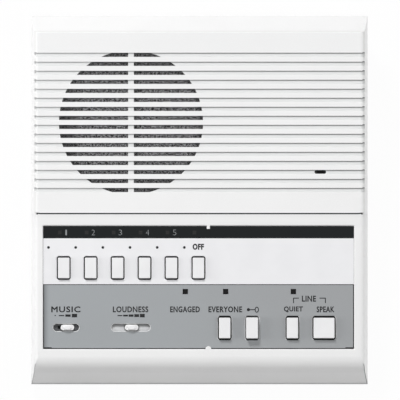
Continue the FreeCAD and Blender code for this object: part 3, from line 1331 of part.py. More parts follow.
def speaker_dust_cap():
    """Shallow dome over the voice coil."""
    radii = [COIL_OUTER * (1 - step / CAP_STEPS) for step in range(CAP_STEPS + 1)]
    outer = [(radius, COIL_TOP + PAPER + CAP_RISE * (1 - (radius / COIL_OUTER) ** 2)) for radius in radii]
    inner = [(radius * COIL_INNER / COIL_OUTER, w - PAPER) for radius, w in reversed(outer)]
    return turned(GRILLE_U, GRILLE_V, outer + inner)


def speaker_clips():
    """Four plates that clamp the flange from behind."""
    back = FLANGE_BACK_W - CLIP_THICKNESS
    clips = []
    for u, v in speaker_screw_places():
        half = CLIP_WIDTH / 2
        plate = block(u - CLIP_REACH, u + CLIP_TAIL, v - half, v + half, back, FLANGE_BACK_W)
        outward = math.degrees(math.atan2(v - GRILLE_V, u - GRILLE_U))
        plate.rotate(Vector(u, v, 0), Vector(0, 0, 1), outward)
        clips.append(plate.cut(post(u, v, SCREW_RADIUS + SCREW_GAP, back, FLANGE_BACK_W)))
    return group(clips)


def speaker_screws():
    """Screws of the speaker's clips."""
    seat = FLANGE_BACK_W - CLIP_THICKNESS
    return group([
        screw(u, v, seat, CLIP_SCREW, SCREW_RADIUS, SCREW_HEAD_RADIUS, SCREW_HEAD_HEIGHT)
        for u, v in speaker_screw_places()
    ])


def tag_limits():
    """u of the terminal strip's inner and outer edge, and w of its back."""
    inner = GRILLE_U + SPEAKER_RADIUS - TAG_DEPTH - SPEAKER_SHEET
    return inner, inner + TAG_DEPTH, FLANGE_BACK_W - TAG_THICKNESS


def lug_places():
    """v of the speaker's two solder lugs."""
    return [GRILLE_V + side * TAG_PITCH / 2 for side in (-1, 1)]


def speaker_terminals():
    """Fibre strip on the speaker's flange, with two solder lugs."""
    inner, outer, back = tag_limits()
    strip = block(inner, outer, GRILLE_V - TAG_LENGTH / 2, GRILLE_V + TAG_LENGTH / 2, back, FLANGE_BACK_W)
    half = TAG_LUG_WIDTH / 2
    top = back + TAG_LUG_THICKNESS
    lugs = [block(outer, outer + TAG_LUG, v - half, v + half, back, top) for v in lug_places()]
    return group([joined([strip] + lugs)])


# Microphone

def microphone():
    """Electret capsule."""
    top = FACE_INSIDE - BOOT_FACE
    return post(MIC_U, MIC_V, CAPSULE_RADIUS, top - CAPSULE_HEIGHT, top)


def microphone_boot():
    """Rubber cup around the capsule, with a port under the slot."""
    outer = CAPSULE_RADIUS + BOOT_WALL
    top = FACE_INSIDE - BOOT_FACE
    cup = tube(MIC_U, MIC_V, outer, CAPSULE_RADIUS, top - CAPSULE_HEIGHT + BOOT_FACE, top)
    return joined([cup, tube(MIC_U, MIC_V, outer, BOOT_PORT, top, FACE_INSIDE)])


# Boards and what stands on them

def key_board():
    """Circuit board under the keys."""
    low, high = KEY_BOARD_BACK, KEY_BOARD_TOP
    board = block(KEY_BOARD_LEFT, KEY_BOARD_RIGHT, KEY_BOARD_FRONT, KEY_BOARD_REAR, low, high)
    hole_radius = SCREW_RADIUS + SCREW_GAP
    return board.cut([post(u, v, hole_radius, low, high) for u, v in KEY_POSTS])


def main_board():
    """Circuit board beside the speaker."""
    low, high = MAIN_BOARD_BACK, MAIN_BOARD_TOP
    board = block(MAIN_BOARD_LEFT, MAIN_BOARD_RIGHT, MAIN_BOARD_FRONT, MAIN_BOARD_REAR, low, high)
    hole_radius = SCREW_RADIUS + SCREW_GAP
    holes = [post(u, v, hole_radius, low, high) for u, v in main_board_screw_places()]
    return board.cut(holes)


def board_screws():
    """Screws of both circuit boards."""
    key_board_screws = [
        screw(u, v, KEY_BOARD_BACK, KEY_BOARD_SCREW, SCREW_RADIUS, SCREW_HEAD_RADIUS, SCREW_HEAD_HEIGHT)
        for u, v in KEY_POSTS
    ]
    main_board_screws = [
        screw(u, v, MAIN_BOARD_BACK, MAIN_BOARD_SCREW, SCREW_RADIUS, SCREW_HEAD_RADIUS, SCREW_HEAD_HEIGHT)
        for u, v in main_board_screw_places()
    ]
    return group(key_board_screws + main_board_screws)


def amplifier_chip():
    """Power amplifier standing off the main board's underside."""
    width, depth, height = CHIP_SIZE
    return square_bar(CHIP_U, CHIP_V, width, depth, MAIN_BOARD_BACK - height, MAIN_BOARD_BACK)


def heat_sink():
    """Finned block against the amplifier chip."""
    width, depth, height = SINK_SIZE
    front = CHIP_V + CHIP_SIZE[1] / 2
    low = MAIN_BOARD_BACK - height
    back = block(CHIP_U - width / 2, CHIP_U + width / 2, front, front + SINK_BACK, low, MAIN_BOARD_BACK)
    spread = (width - SINK_FIN) / (SINK_FINS - 1)
    fins = []
    for index in range(SINK_FINS):
        u = CHIP_U - width / 2 + spread * index
        fins.append(block(u, u + SINK_FIN, front + SINK_BACK, front + depth, low, MAIN_BOARD_BACK))
    return joined([back] + fins)


def capacitors():
    """Electrolytic capacitors hanging from the main board."""
    top = MAIN_BOARD_BACK
    left = [(MAIN_BOARD_LEFT + side, *rest) for side, *rest in CAPACITORS_LEFT]
    right = [(MAIN_BOARD_RIGHT - side, *rest) for side, *rest in CAPACITORS_RIGHT]
    return group([
        post(u, MAIN_BOARD_FRONT + rise, radius, top - length, top)
        for u, rise, radius, length in left + right
    ])


def terminal_places():
    """World x of the terminals."""
    first = BLOCK_X - TERMINAL_PITCH * (TERMINALS - 1) / 2
    return [first + TERMINAL_PITCH * index for index in range(TERMINALS)]


def terminal_block():
    """Screw terminal block on the bay's ceiling, in the world frame."""
    bottom = BAY_CEILING - BLOCK_HEIGHT
    body = square_bar(BLOCK_X, BLOCK_Y, BLOCK_LENGTH, BLOCK_WIDTH, bottom, BAY_CEILING)
    top = bottom + TERMINAL_SCREW_DEPTH
    well_radius = TERMINAL_SCREW_RADIUS + SCREW_GAP
    wells = [post(x, BLOCK_Y, well_radius, bottom, top) for x in terminal_places()]
    mouth = TERMINAL_SCREW_RADIUS
    front = BLOCK_Y - BLOCK_WIDTH / 2
    entries = [square_bar(x, front, mouth, BLOCK_WIDTH / 2, top - mouth, top) for x in terminal_places()]
    tail_end = BAY_CEILING + TAIL_HEIGHT
    tails = [
        square_bar(x, BLOCK_Y, TAIL_WIDTH, TAIL_THICKNESS, BAY_CEILING, tail_end) for x in terminal_places()
    ]
    return joined([body.cut(wells + entries)] + tails)


def terminal_screws():
    """Slotted clamp screws of the terminal block, in the world frame."""
    bottom = BAY_CEILING - BLOCK_HEIGHT
    low = bottom - TERMINAL_SCREW_PROUD
    high = bottom + TERMINAL_SCREW_DEPTH
    slot = TERMINAL_SLOT
    across = 2 * (TERMINAL_SCREW_RADIUS + OVERCUT)
    return group([
        post(x, BLOCK_Y, TERMINAL_SCREW_RADIUS, low, high).cut(
            square_bar(x, BLOCK_Y, across, slot, low, low + slot)
        )
        for x in terminal_places()
    ])


# Leads

def speaker_leads():
    """Two wires from the speaker's lugs to the main board."""
    _, outer, back = tag_limits()
    drop = back - LEAD_END_GAP - LEAD_RADIUS
    low = drop - LEAD_DROP
    board_w = MAIN_BOARD_BACK - LEAD_END_GAP
    wires = []
    for v in lug_places():
        lug_u = outer + TAG_LUG / 2
        board_u = MAIN_BOARD_LEFT + BOARD_POST_INSET
        wires.append(lead([
            Vector(lug_u, v, drop + LEAD_RADIUS), Vector(lug_u, v, low),
            Vector(board_u, v, low), Vector(board_u, v, board_w),
        ]))
    return group(wires)


def microphone_leads():
    """Two wires from the capsule to the main board."""
    back = FACE_INSIDE - BOOT_FACE - CAPSULE_HEIGHT - LEAD_END_GAP
    low = back - LEAD_DROP
    board_w = MAIN_BOARD_BACK - LEAD_END_GAP
    end_v = MAIN_BOARD_FRONT + BOARD_POST_INSET
    wires = []
    for side in (-1, 1):
        u = MIC_U + side * 2 * LEAD_RADIUS
        wires.append(lead([
            Vector(u, MIC_V, back), Vector(u, MIC_V, low), Vector(u, end_v, low), Vector(u, end_v, board_w),
        ]))
    return group(wires)


def link_cable():
    """Flat cable between the key board and the main board."""
    low = KEY_BOARD_TOP + LEAD_END_GAP
    level = KEY_BOARD_TOP + LINK_RIBBON_LIFT
    u = LINK_RIBBON_U
    return ribbon([
        Vector(u, LINK_RIBBON_START, low), Vector(u, LINK_RIBBON_START, level),
        Vector(u, LINK_RIBBON_END, level), Vector(u, LINK_RIBBON_END, MAIN_BOARD_BACK - LEAD_END_GAP),
    ], LINK_RIBBON_WIDTH, RIBBON_BEND)


def line_leads():
    """Flat cable from the terminal block's tails up to the main board, in the world frame."""
    start_z = BAY_CEILING + TAIL_HEIGHT + LEAD_END_GAP
    end = world_point(BLOCK_X, LINE_RIBBON_V, MAIN_BOARD_BACK - LEAD_END_GAP)
    above = world_point(BLOCK_X, LINE_RIBBON_V, MAIN_BOARD_BACK - LINE_RIBBON_DROP)
    return ribbon([
        Vector(BLOCK_X, BLOCK_Y, start_z), Vector(BLOCK_X, BLOCK_Y, start_z + LINE_RIBBON_RISE), above, end,
    ], LINE_RIBBON_WIDTH, RIBBON_BEND)


PANEL_PARTS = {
    "front_cover": front_cover,
    "control_chassis": control_chassis,
    "control_panel": control_panel,
    "station_plate": station_plate,
    "indicator_strip": indicator_strip,
    "housing_screws": housing_screws,
    "chassis_screws": chassis_screws,
    "board_screws": board_screws,
    "speaker_screws": speaker_screws,
    "station_key_springs": lambda: key_springs(KEY_ROW_V),
    "function_key_springs": lambda: key_springs(FUNCTION_ROW_V),
    "station_switch_bank": station_switch_bank,
    "latch_bar": latch_bar,
    "latch_spring": latch_spring,
    "function_switches": function_switches,
    "music_slider_knob": music_slider_knob,
    "music_slide_switch": music_slide_switch,
    "voice_slider_knob": voice_slider_knob,
    "voice_slide_control": voice_slide_control,
    "station_leds": station_leds,
    "status_leds": status_leds,
    "status_lenses": status_lenses,
    "speaker_cloth": speaker_cloth,
    "speaker_gasket": speaker_gasket,
    "speaker_frame": speaker_frame,
    "speaker_top_plate": speaker_top_plate,
    "speaker_magnet": speaker_magnet,
    "speaker_yoke": speaker_yoke,
    "speaker_cone": speaker_cone,
    "speaker_surround": speaker_surround,
    "speaker_spider": speaker_spider,
    "speaker_coil": speaker_coil,
    "speaker_dust_cap": speaker_dust_cap,
    "speaker_clips": speaker_clips,
    "speaker_terminals": speaker_terminals,
    "microphone": microphone,
    "microphone_boot": microphone_boot,
    "key_board": key_board,
    "main_board": main_board,
    "amplifier_chip": amplifier_chip,
    "heat_sink": heat_sink,
    "capacitors": capacitors,
    "speaker_leads": speaker_leads,
    "microphone_leads": microphone_leads,
    "link_cable": link_cable,
}

WORLD_PARTS = {
    "base_cover": base_cover,
    "rubber_feet": rubber_feet,
    "terminal_block": terminal_block,
    "terminal_screws": terminal_screws,
    "line_leads": line_leads,
}


def main():
    os.makedirs("parts", exist_ok=True)
    shapes = {name: seated(build()) for name, build in PANEL_PARTS.items()}
    shapes.update({name: build() for name, build in WORLD_PARTS.items()})
    for name, *place in key_places():
        shapes[name] = seated(key(*place))
    for name, shape in shapes.items():
        shape.exportStep(f"parts/{name}.step")
        volume = sum(solid.Volume for solid in shape.Solids)
        print(f"{name}: {len(shape.Solids)} solids, {volume:.1f} mm3, valid {shape.isValid()}")


main()
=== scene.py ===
import json
import math
import bpy
import bmesh
from mathutils import Matrix, Vector


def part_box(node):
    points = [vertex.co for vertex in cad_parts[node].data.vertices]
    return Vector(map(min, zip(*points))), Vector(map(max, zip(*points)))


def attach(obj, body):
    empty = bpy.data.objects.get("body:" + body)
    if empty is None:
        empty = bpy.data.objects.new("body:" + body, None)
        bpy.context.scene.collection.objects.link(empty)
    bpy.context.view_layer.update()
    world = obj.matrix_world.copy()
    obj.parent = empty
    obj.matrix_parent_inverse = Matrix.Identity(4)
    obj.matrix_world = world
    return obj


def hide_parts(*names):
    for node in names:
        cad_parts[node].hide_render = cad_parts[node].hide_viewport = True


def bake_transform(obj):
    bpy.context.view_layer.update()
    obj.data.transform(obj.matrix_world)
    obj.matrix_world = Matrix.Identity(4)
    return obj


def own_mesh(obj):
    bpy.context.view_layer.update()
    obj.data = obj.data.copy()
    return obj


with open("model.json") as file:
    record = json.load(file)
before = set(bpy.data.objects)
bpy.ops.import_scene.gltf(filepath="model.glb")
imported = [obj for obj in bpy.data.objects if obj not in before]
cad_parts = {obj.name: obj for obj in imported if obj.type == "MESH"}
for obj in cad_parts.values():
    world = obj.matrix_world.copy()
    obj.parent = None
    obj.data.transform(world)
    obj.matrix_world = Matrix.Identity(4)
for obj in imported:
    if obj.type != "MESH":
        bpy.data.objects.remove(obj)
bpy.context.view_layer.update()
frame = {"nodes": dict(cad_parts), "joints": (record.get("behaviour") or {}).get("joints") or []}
nodes = frame["nodes"]
print("frame loaded:", len(nodes), "parts")

# The lid of the case leans towards its user. Places on it are in millimetres: right, up the lid, and out of it.
panel = {
    "lean": 7.0,                       # degrees
    "origin": (0.0, 0.0001219, 0.020088),  # metres
    "coverFace": 28.0,                 # levels above the rim
    "plateFace": 27.0,
    "stationFace": 27.4,
}
lean = math.radians(panel["lean"])
across = Vector((1.0, 0.0, 0.0))
upLid = Vector((0.0, math.cos(lean), math.sin(lean)))
outLid = Vector((0.0, -math.sin(lean), math.cos(lean)))
lidOrigin = Vector(panel["origin"])
lidMatrix = Matrix.Translation(lidOrigin) @ Matrix((across, upLid, outLid)).transposed().to_4x4()
milli = 0.001
doubles = 1e-7                         # metres: nearer points are one


def onLid(right, up, out):             # a point of the lid, in metres
    return lidOrigin + (across * right + upLid * up + outLid * out) * milli


def linked(name, data):                # a new object in the scene
    item = bpy.data.objects.new(name, data)
    bpy.context.scene.collection.objects.link(item)
    return item


def meshOf(name, build, *paints):      # a bmesh as a mesh with its material
    mesh = bpy.data.meshes.new(name)
    build.to_mesh(mesh)
    build.free()
    for paint in paints:
        mesh.materials.append(paint)
    return mesh


def evaluatedMesh(item):               # what an object's curve or modifiers come to
    return bpy.data.meshes.new_from_object(item.evaluated_get(bpy.context.evaluated_depsgraph_get()))


class Wire:                            # one socket that takes part in arithmetic
    def __init__(self, owner, socket):
        self.owner, self.socket = owner, socket

    def maths(self, operation, *values):
        return self.owner.node("ShaderNodeMath", {"operation": operation}, dict(enumerate(values)))

    def __add__(self, other): return self.maths("ADD", self, other)
    def __radd__(self, other): return self.maths("ADD", other, self)
    def __sub__(self, other): return self.maths("SUBTRACT", self, other)
    def __rsub__(self, other): return self.maths("SUBTRACT", other, self)
    def __mul__(self, other): return self.maths("MULTIPLY", self, other)
    def __rmul__(self, other): return self.maths("MULTIPLY", other, self)
    def __truediv__(self, other): return self.maths("DIVIDE", self, other)
    def __pow__(self, other): return self.maths("POWER", self, other)
    def __abs__(self): return self.maths("ABSOLUTE", self)
    def wave(self): return self.maths("SINE", self)
    def part(self): return self.maths("FRACT", self)
    def least(self, other): return self.maths("MINIMUM", self, other)
    def most(self, other): return self.maths("MAXIMUM", self, other)

    def swing(self, amount):           # noise as a push either way from its middle
        return (self - 0.5) * amount


class Tree:                            # a node tree; every node comes from its one method
    def __init__(self, tree):
        self.tree = tree

    def node(self, kind, settings=None, values=None, out=0):
        node = self.tree.nodes.new(kind)
        for key, value in (settings or {}).items():
            setattr(node, key, value)
        for key, value in (values or {}).items():
            if isinstance(value, Wire):
                self.tree.links.new(value.socket, node.inputs[key])
            else:
                node.inputs[key].default_value = value
        return Wire(self, node.outputs[out])

    def outputs(self, wire, *names):   # several outputs of a wire's node
        return [Wire(self, wire.socket.node.outputs[name]) for name in names]

    def seen(self):                    # 1 for rays that show what they meet
        straight, glossy, passing = self.outputs(
            self.node("ShaderNodeLightPath"), "Is Camera Ray", "Is Glossy Ray", "Is Transmission Ray")
        return straight.most(glossy).most(passing)


plainNoise = (1.0, 3.0, 0.5, 0.0)


class Finish(Tree):                    # a material; names in its calls stand for what its look holds
    def __init__(self, name, look, level=None):
        self.look = look
        self.material = bpy.data.materials.new(name)
        self.material.use_nodes = True
        super().__init__(self.material.node_tree)
        self.shader = self.tree.nodes["Principled BSDF"]
        self.shader.inputs["Specular IOR Level"].default_value = level or look.get("level", 0.5)
        self.shader.inputs["Metallic"].default_value = look.get("metallic", 0.0)

    def read(self, value):
        return self.look[value] if isinstance(value, str) else value

    def where(self):                   # object coordinates, in metres
        return self.node("ShaderNodeTexCoord", out="Object")

    def lidPlace(self):                # a place on the lid, in millimetres
        return self.node("ShaderNodeMapping", {"vector_type": "TEXTURE"}, {
            "Vector": self.where(), "Location": tuple(lidOrigin), "Rotation": (lean, 0.0, 0.0),
            "Scale": (milli, milli, milli)})

    def lidAxes(self):                 # the place, then right, up and out one by one
        where = self.lidPlace()
        return where, *self.outputs(self.node("ShaderNodeSeparateXYZ", values={0: where}), 0, 1, 2)

    def noise(self, where, grain):     # a grain is a scale, or scale, detail, roughness and distortion
        grain = self.read(grain)
        given = grain if isinstance(grain, tuple) else (grain,)
        values = zip(("Scale", "Detail", "Roughness", "Distortion"), (*given, *plainNoise[len(given):]))
        return self.node("ShaderNodeTexNoise", values={"Vector": where, **dict(values)})

    def noises(self, where, *grains):
        return [self.noise(where, grain) for grain in grains]

    def stretched(self, where, scale):
        return self.node("ShaderNodeMapping", values={"Vector": where, "Scale": self.read(scale)})

    def ease(self, value, span):       # a span is where a mask starts and where it is full
        low, high = self.read(span)
        return self.node("ShaderNodeMapRange", {"interpolation_type": "SMOOTHSTEP"}, {
            "Value": value, "From Min": low, "From Max": high})

    def within(self, **spans):         # the masks of several spans, multiplied
        mask = None
        for name, value in spans.items():
            eased = self.ease(value, name)
            mask = eased if mask is None else mask * eased
        return mask

    def total(self, **shares):         # each value times its share, added up
        whole = None
        for name, value in shares.items():
            part = value * self.look[name]
            whole = part if whole is None else whole + part
        return whole

    def ramp(self, value, span, share):  # a mask that grows from the second number by the first
        growth, least = self.read(share)
        return self.ease(value, span) * growth + least

    def mix(self, mask, first, second):  # tints go to sockets 6 and 7 of the node and leave by output 2
        values = {0: mask}
        for index, tint in ((6, self.read(first)), (7, self.read(second))):
            values[index] = tint if isinstance(tint, Wire) else (*tint, 1.0)
        return self.node("ShaderNodeMix", {"data_type": "RGBA"}, values, out=2)

    def fade(self, value, span, first, second):
        return self.mix(self.ease(value, span), first, second)

    def coats(self, base, *layers):    # tints laid over a base, each by its mask and the mask's share
        for mask, *share, tint in layers:
            base = self.mix(mask * self.read(share[0]) if share else mask, base, tint)
        return base

    def bump(self, height, depth="depth"):
        return self.node("ShaderNodeBump", values={
            "Height": height, "Distance": self.read(depth), "Strength": self.look.get("strength", 1.0)})

    def done(self, colour, roughness, normal, metallic=None):
        for name, wire in (("Base Color", colour), ("Roughness", roughness), ("Normal", normal),
                           ("Metallic", metallic)):
            if wire is not None:
                self.tree.links.new(wire.socket, self.shader.inputs[name])
        return self.material

    def grained(self, base, grain, height=None):  # roughness that follows a grain, over its bump
        return self.done(base, self.look["rough"] + grain.swing(self.look["swing"]),
                         self.bump(grain if height is None else height))


def tone(red, green, blue):            # a display colour, 0 to 255, as linear light
    def linear(value):
        value /= 255.0
        return value / 12.92 if value <= 0.04045 else ((value + 0.055) / 1.055) ** 2.4
    return tuple(linear(value) for value in (red, green, blue))


def dimmed(tint, share):
    return tuple(value * share for value in tint)


# camera, lamps and floor

view = {"lens": 1500.0, "sensor": 36.0, "right": 0.31, "up": 0.06, "width": 249.24, "clip": (0.1, 60.0)}
studio = {
    # name: right, up and out in millimetres, side in metres, watts
    "keyLamp": (-450.0, 1300.0, 1200.0, 0.32, 19.9),
    "sideLamp": (-1700.0, 50.0, 750.0, 0.90, 13.9),
    "fillLamp": (1500.0, -100.0, 1100.0, 1.20, 12.9),
    "frontLamp": (0.0, -1600.0, 900.0, 1.20, 0.9),
    "overLamp": (0.0, 0.0, 2000.0, 1.40, 1.5),
}
room = {"lampAim": (0.0, 0.0, 10.0), "glow": 0.193, "background": 1.0, "white": (1.0, 1.0, 1.0, 1.0),
        "floorReach": 6.0, "floorLevel": -0.0002, "floorShown": 0.96, "haze": (3.0, 2.0), "hazeFrom": (0.3, 0.7),
        "paper": (0.86, 0.86, 0.86), "hazy": (0.83, 0.83, 0.83)}


def makeCamera():
    data = bpy.data.cameras.new("stationCamera")
    data.type = "PERSP"
    data.lens = view["lens"]
    data.sensor_width = view["sensor"]
    data.clip_start, data.clip_end = view["clip"]
    distance = view["width"] * view["lens"] / view["sensor"]
    spot = onLid(view["right"], view["up"], panel["coverFace"] + distance)
    camera = linked("stationCamera", data)
    camera.matrix_world = Matrix.Translation(spot - lidOrigin) @ lidMatrix
    bpy.context.scene.camera = camera


def makeLamps():
    for name, (right, up, out, side, watts) in studio.items():
        data = bpy.data.lights.new(name, "AREA")
        data.shape = "SQUARE"
        data.size = side
        data.energy = watts
        lamp = linked(name, data)
        spot = onLid(right, up, out)
        lamp.location = spot
        lamp.rotation_euler = (spot - onLid(*room["lampAim"])).to_track_quat("Z", "Y").to_euler()


def makeFloor():
    finish = Finish("studioFloor", room)
    haze = finish.noise(finish.where(), "haze")
    paper = finish.node("ShaderNodeBsdfDiffuse", values={
        "Color": finish.fade(haze, "hazeFrom", "paper", "hazy")})
    lit = finish.node("ShaderNodeEmission", values={"Color": room["white"]})
    both = finish.node("ShaderNodeMixShader", values={
        0: finish.seen() * room["floorShown"], 1: paper, 2: lit})
    finish.tree.links.new(both.socket, finish.tree.nodes["Material Output"].inputs["Surface"])
    finish.tree.nodes.remove(finish.shader)
    mesh = bpy.data.meshes.new("studioFloor")
    reach, low = room["floorReach"], room["floorLevel"]
    corners = [(-reach, -reach, low), (reach, -reach, low), (reach, reach, low), (-reach, reach, low)]
    mesh.from_pydata(corners, [], [(0, 1, 2, 3)])
    mesh.materials.append(finish.material)
    linked("studioFloor", mesh)


def makeWorld():
    surroundings = bpy.data.worlds.new("studioWorld")
    surroundings.use_nodes = True
    sky = Tree(surroundings.node_tree)
    sky.tree.nodes.remove(sky.tree.nodes["Background"])
    glow, plain = [sky.node("ShaderNodeBackground", values={"Color": room["white"], "Strength": room[key]})
                   for key in ("glow", "background")]
    both = sky.node("ShaderNodeMixShader", values={0: sky.seen(), 1: glow, 2: plain})
    sky.tree.links.new(both.socket, sky.tree.nodes["World Output"].inputs["Surface"])
    bpy.context.scene.world = surroundings
    bpy.context.scene.view_settings.view_transform = "Standard"


makeCamera()
makeLamps()
makeFloor()
makeWorld()
print("studio ready")


# finishes that several parts share

mould = {"level": 0.4, "drift": 0.018, "specks": (1.7, 2.0), "wornFrom": (0.38, 0.66),
         "driftShare": 0.6, "speckShare": 0.4, "skinRough": 0.16, "driftRough": 0.10}
metal = {"metallic": 1.0, "stretch": (0.06, 1.0, 1.0), "cloud": 0.35, "dullFrom": (0.36, 0.66),
         "streakShare": 0.5, "cloudShare": 0.5, "streakRough": 0.22, "cloudRough": 0.12}
smoked = {"stretch": (0.08, 1.0, 1.0), "wipes": (0.9, 4.0, 0.6), "wipedFrom": (0.4, 0.7), "wipeRough": 0.10,
          "dust": (3.5, 2.0), "dustFrom": (0.60, 0.72), "dustShare": 0.5, "dustTint": 2.2, "depth": 0.000004}


def moulded(name, tint, worn, rough, grain, depth):
    # satin moulding: slow drift of tone, fine specks, spark-eroded grain
    finish = Finish(name, mould)
    where = finish.lidPlace()
    drift, specks = finish.noises(where, "drift", "specks")
    skin = finish.noise(where, (grain, 3.0, 0.55))
    base = finish.fade(finish.total(driftShare=drift, speckShare=specks), "wornFrom", tint, worn)
    roughness = rough + skin.swing(mould["skinRough"]) + drift.swing(mould["driftRough"])
    return finish.done(base, roughness, finish.bump(skin, depth))


def bareMetal(name, tint, dull, rough, scale, depth):
    # drawn or plated metal: fine streaks one way, clouded plating
    finish = Finish(name, metal)
    where = finish.lidPlace()
    streaks = finish.noise(finish.stretched(where, "stretch"), (scale, 3.0, 0.6))
    cloud = finish.noise(where, "cloud")
    base = finish.fade(finish.total(streakShare=streaks, cloudShare=cloud), "dullFrom", tint, dull)
    roughness = rough + streaks.swing(metal["streakRough"]) + cloud.swing(metal["cloudRough"])
    return finish.done(base, roughness, finish.bump(streaks, depth))


def smokedWindow(name, tint, level, rough):
    # smoked acrylic: almost black, glossy, faint wipe marks
    finish = Finish(name, smoked, level)
    where = finish.lidPlace()
    wipes = finish.noise(finish.stretched(where, "stretch"), "wipes")
    dust = finish.noise(where, "dust")
    dusty = finish.ease(dust, "dustFrom") * smoked["dustShare"]
    base = finish.mix(dusty, tint, dimmed(tint, smoked["dustTint"]))
    roughness = rough + finish.ease(wipes, "wipedFrom") * smoked["wipeRough"]
    return finish.done(base, roughness, finish.bump(wipes))


# finishes of the case; a pair is where a mask starts and where it is full

caseMarks = {
    # tints: the moulding's own pale tones, dust that doubles as painted shade, scuff wear, and greys and near
    # blacks of painted shade
    "pale": tone(242, 242, 242), "drifted": tone(239, 239, 239), "dusty": tone(216, 216, 213),
    "scuffed": tone(206, 206, 203), "creased": tone(120, 122, 124), "seam": (0.012, 0.012, 0.013),
    "shaded": tone(222, 223, 223), "lined": tone(96, 97, 98),
    "drift": 0.014, "specks": (1.4, 2.0), "skin": (2.6, 3.0, 0.55), "patches": (0.30, 4.0, 0.7),
    "driftShare": 0.55, "speckShare": 0.45, "driftFrom": (0.38, 0.66), "level": 0.35, "depth": 0.000020,
    "rough": 0.46, "skinRough": 0.16, "driftRough": 0.08, "dustRough": 0.12, "scuffRough": 0.10,
    # outline: half sizes at the rim, lean of the flanks, and how far they roll into the face
    "halfWidth": 105.0, "halfLength": 115.0, "lip": 2.0, "sideLean": 2.3 / 26.0, "frontLean": 10.0 / 26.0,
    "sideRoll": 2.7, "frontRoll": 11.1, "rollBlur": (-0.05, 0.05), "edge": 102.7,
    # rubbed edges, and settled dust that also darkens the recesses as painted shade
    "scuffWide": (1.6, 0.0), "scuffPatch": (0.56, 0.68), "scuffShare": 0.30,
    "dustTop": (27.7, 26.9), "dustFoot": (25.0, 25.6), "dustUp": (-12.0, -8.0), "dustShare": 0.4,
    # parting line painted near black as the shadow in its gap, and painted shade round it
    "seamUp": -8.4, "seamTop": (27.98, 27.9), "seamFoot": (26.0, 26.4), "seamHalf": (0.65, 0.50),
    "seamWide": (102.1, 101.3), "shadeFar": (3.2, 0.3), "shadeNear": (-0.2, 0.1),
    "bandTop": (-8.4, -8.7), "bandFoot": (-18.0, -16.0),
    "upperUp": (30.0, 110.0), "upperOut": (27.7, 27.95), "turnWide": (1.6, 0.3), "turnOut": (24.0, 26.5),
    "upperShare": 0.2, "bandShare": 0.18, "belowShare": 0.35, "turnShare": 0.12,
    # walls of the control window and its two lower notches, painted dark as shade
    "wallTop": (27.35, 27.0), "wallFoot": (24.6, 25.0), "wallWide": (99.2, 98.8),
    "wallUp": (-13.8, -14.4), "wallDown": (-95.0, -94.4), "notchWide": (92.2, 92.6), "notchUp": (-92.0, -92.5),
    "wallShare": 0.9, "notchShare": 0.9,
    # louvres: painted shade on the groove floors, and a painted shadow line at each groove's upper foot that
    # darkens to the right
    "louvreTop": 91.8, "louvreLead": 0.4, "louvrePitch": 5.616, "louvreHigh": (2.75, 2.35),
    "louvreLine": (0.62, 0.22), "lineRight": (-110.0, 30.0), "lineGrowth": (0.6, 0.4), "lineShare": 0.94,
    "grooveTop": (27.8, 27.4), "grooveFoot": (24.8, 25.2), "grooveUp": (4.6, 4.8), "grooveDown": (92.6, 92.4),
    "grooveShare": 0.95,
    # painted shade along the mitre creases at the corners, along the rim, and darkening towards the bottom
    "creaseGap": (0.8, 0.2), "creaseOut": (27.4, 26.4), "creaseRight": (-60.0, 60.0),
    "creaseGrowth": (0.35, 0.45), "rimOut": (4.2, 2.6), "rimUp": (-111.0, -113.5), "rimShare": 0.45,
    "grimeOut": (6.4, 1.6), "grimeUp": (-104.0, -110.0), "grimeShare": 0.42,
}


def fromProfile(finish, gap, out, tilt, roll):
    # how far inside the case's outline a point lies, where the flank rolls over into the face
    cosine = 1 / math.sqrt(1 + tilt * tilt)
    sine = tilt * cosine
    inside = gap * cosine
    below = panel["coverFace"] - out
    rise = roll - below
    run = (roll - inside - rise * sine) * (1 / cosine)
    rolled = finish.ease(run, "rollBlur") * finish.ease(rise * cosine - run * sine, "rollBlur")
    return rolled * (roll - (run ** 2.0 + rise ** 2.0) ** 0.5) + (1 - rolled) * inside.least(below)


def louvreStep(up):                    # how far a point lies below the last louvre above it
    top = caseMarks["louvreTop"] + caseMarks["louvreLead"]
    return ((top - up) / caseMarks["louvrePitch"]).part() * caseMarks["louvrePitch"] - caseMarks["louvreLead"]


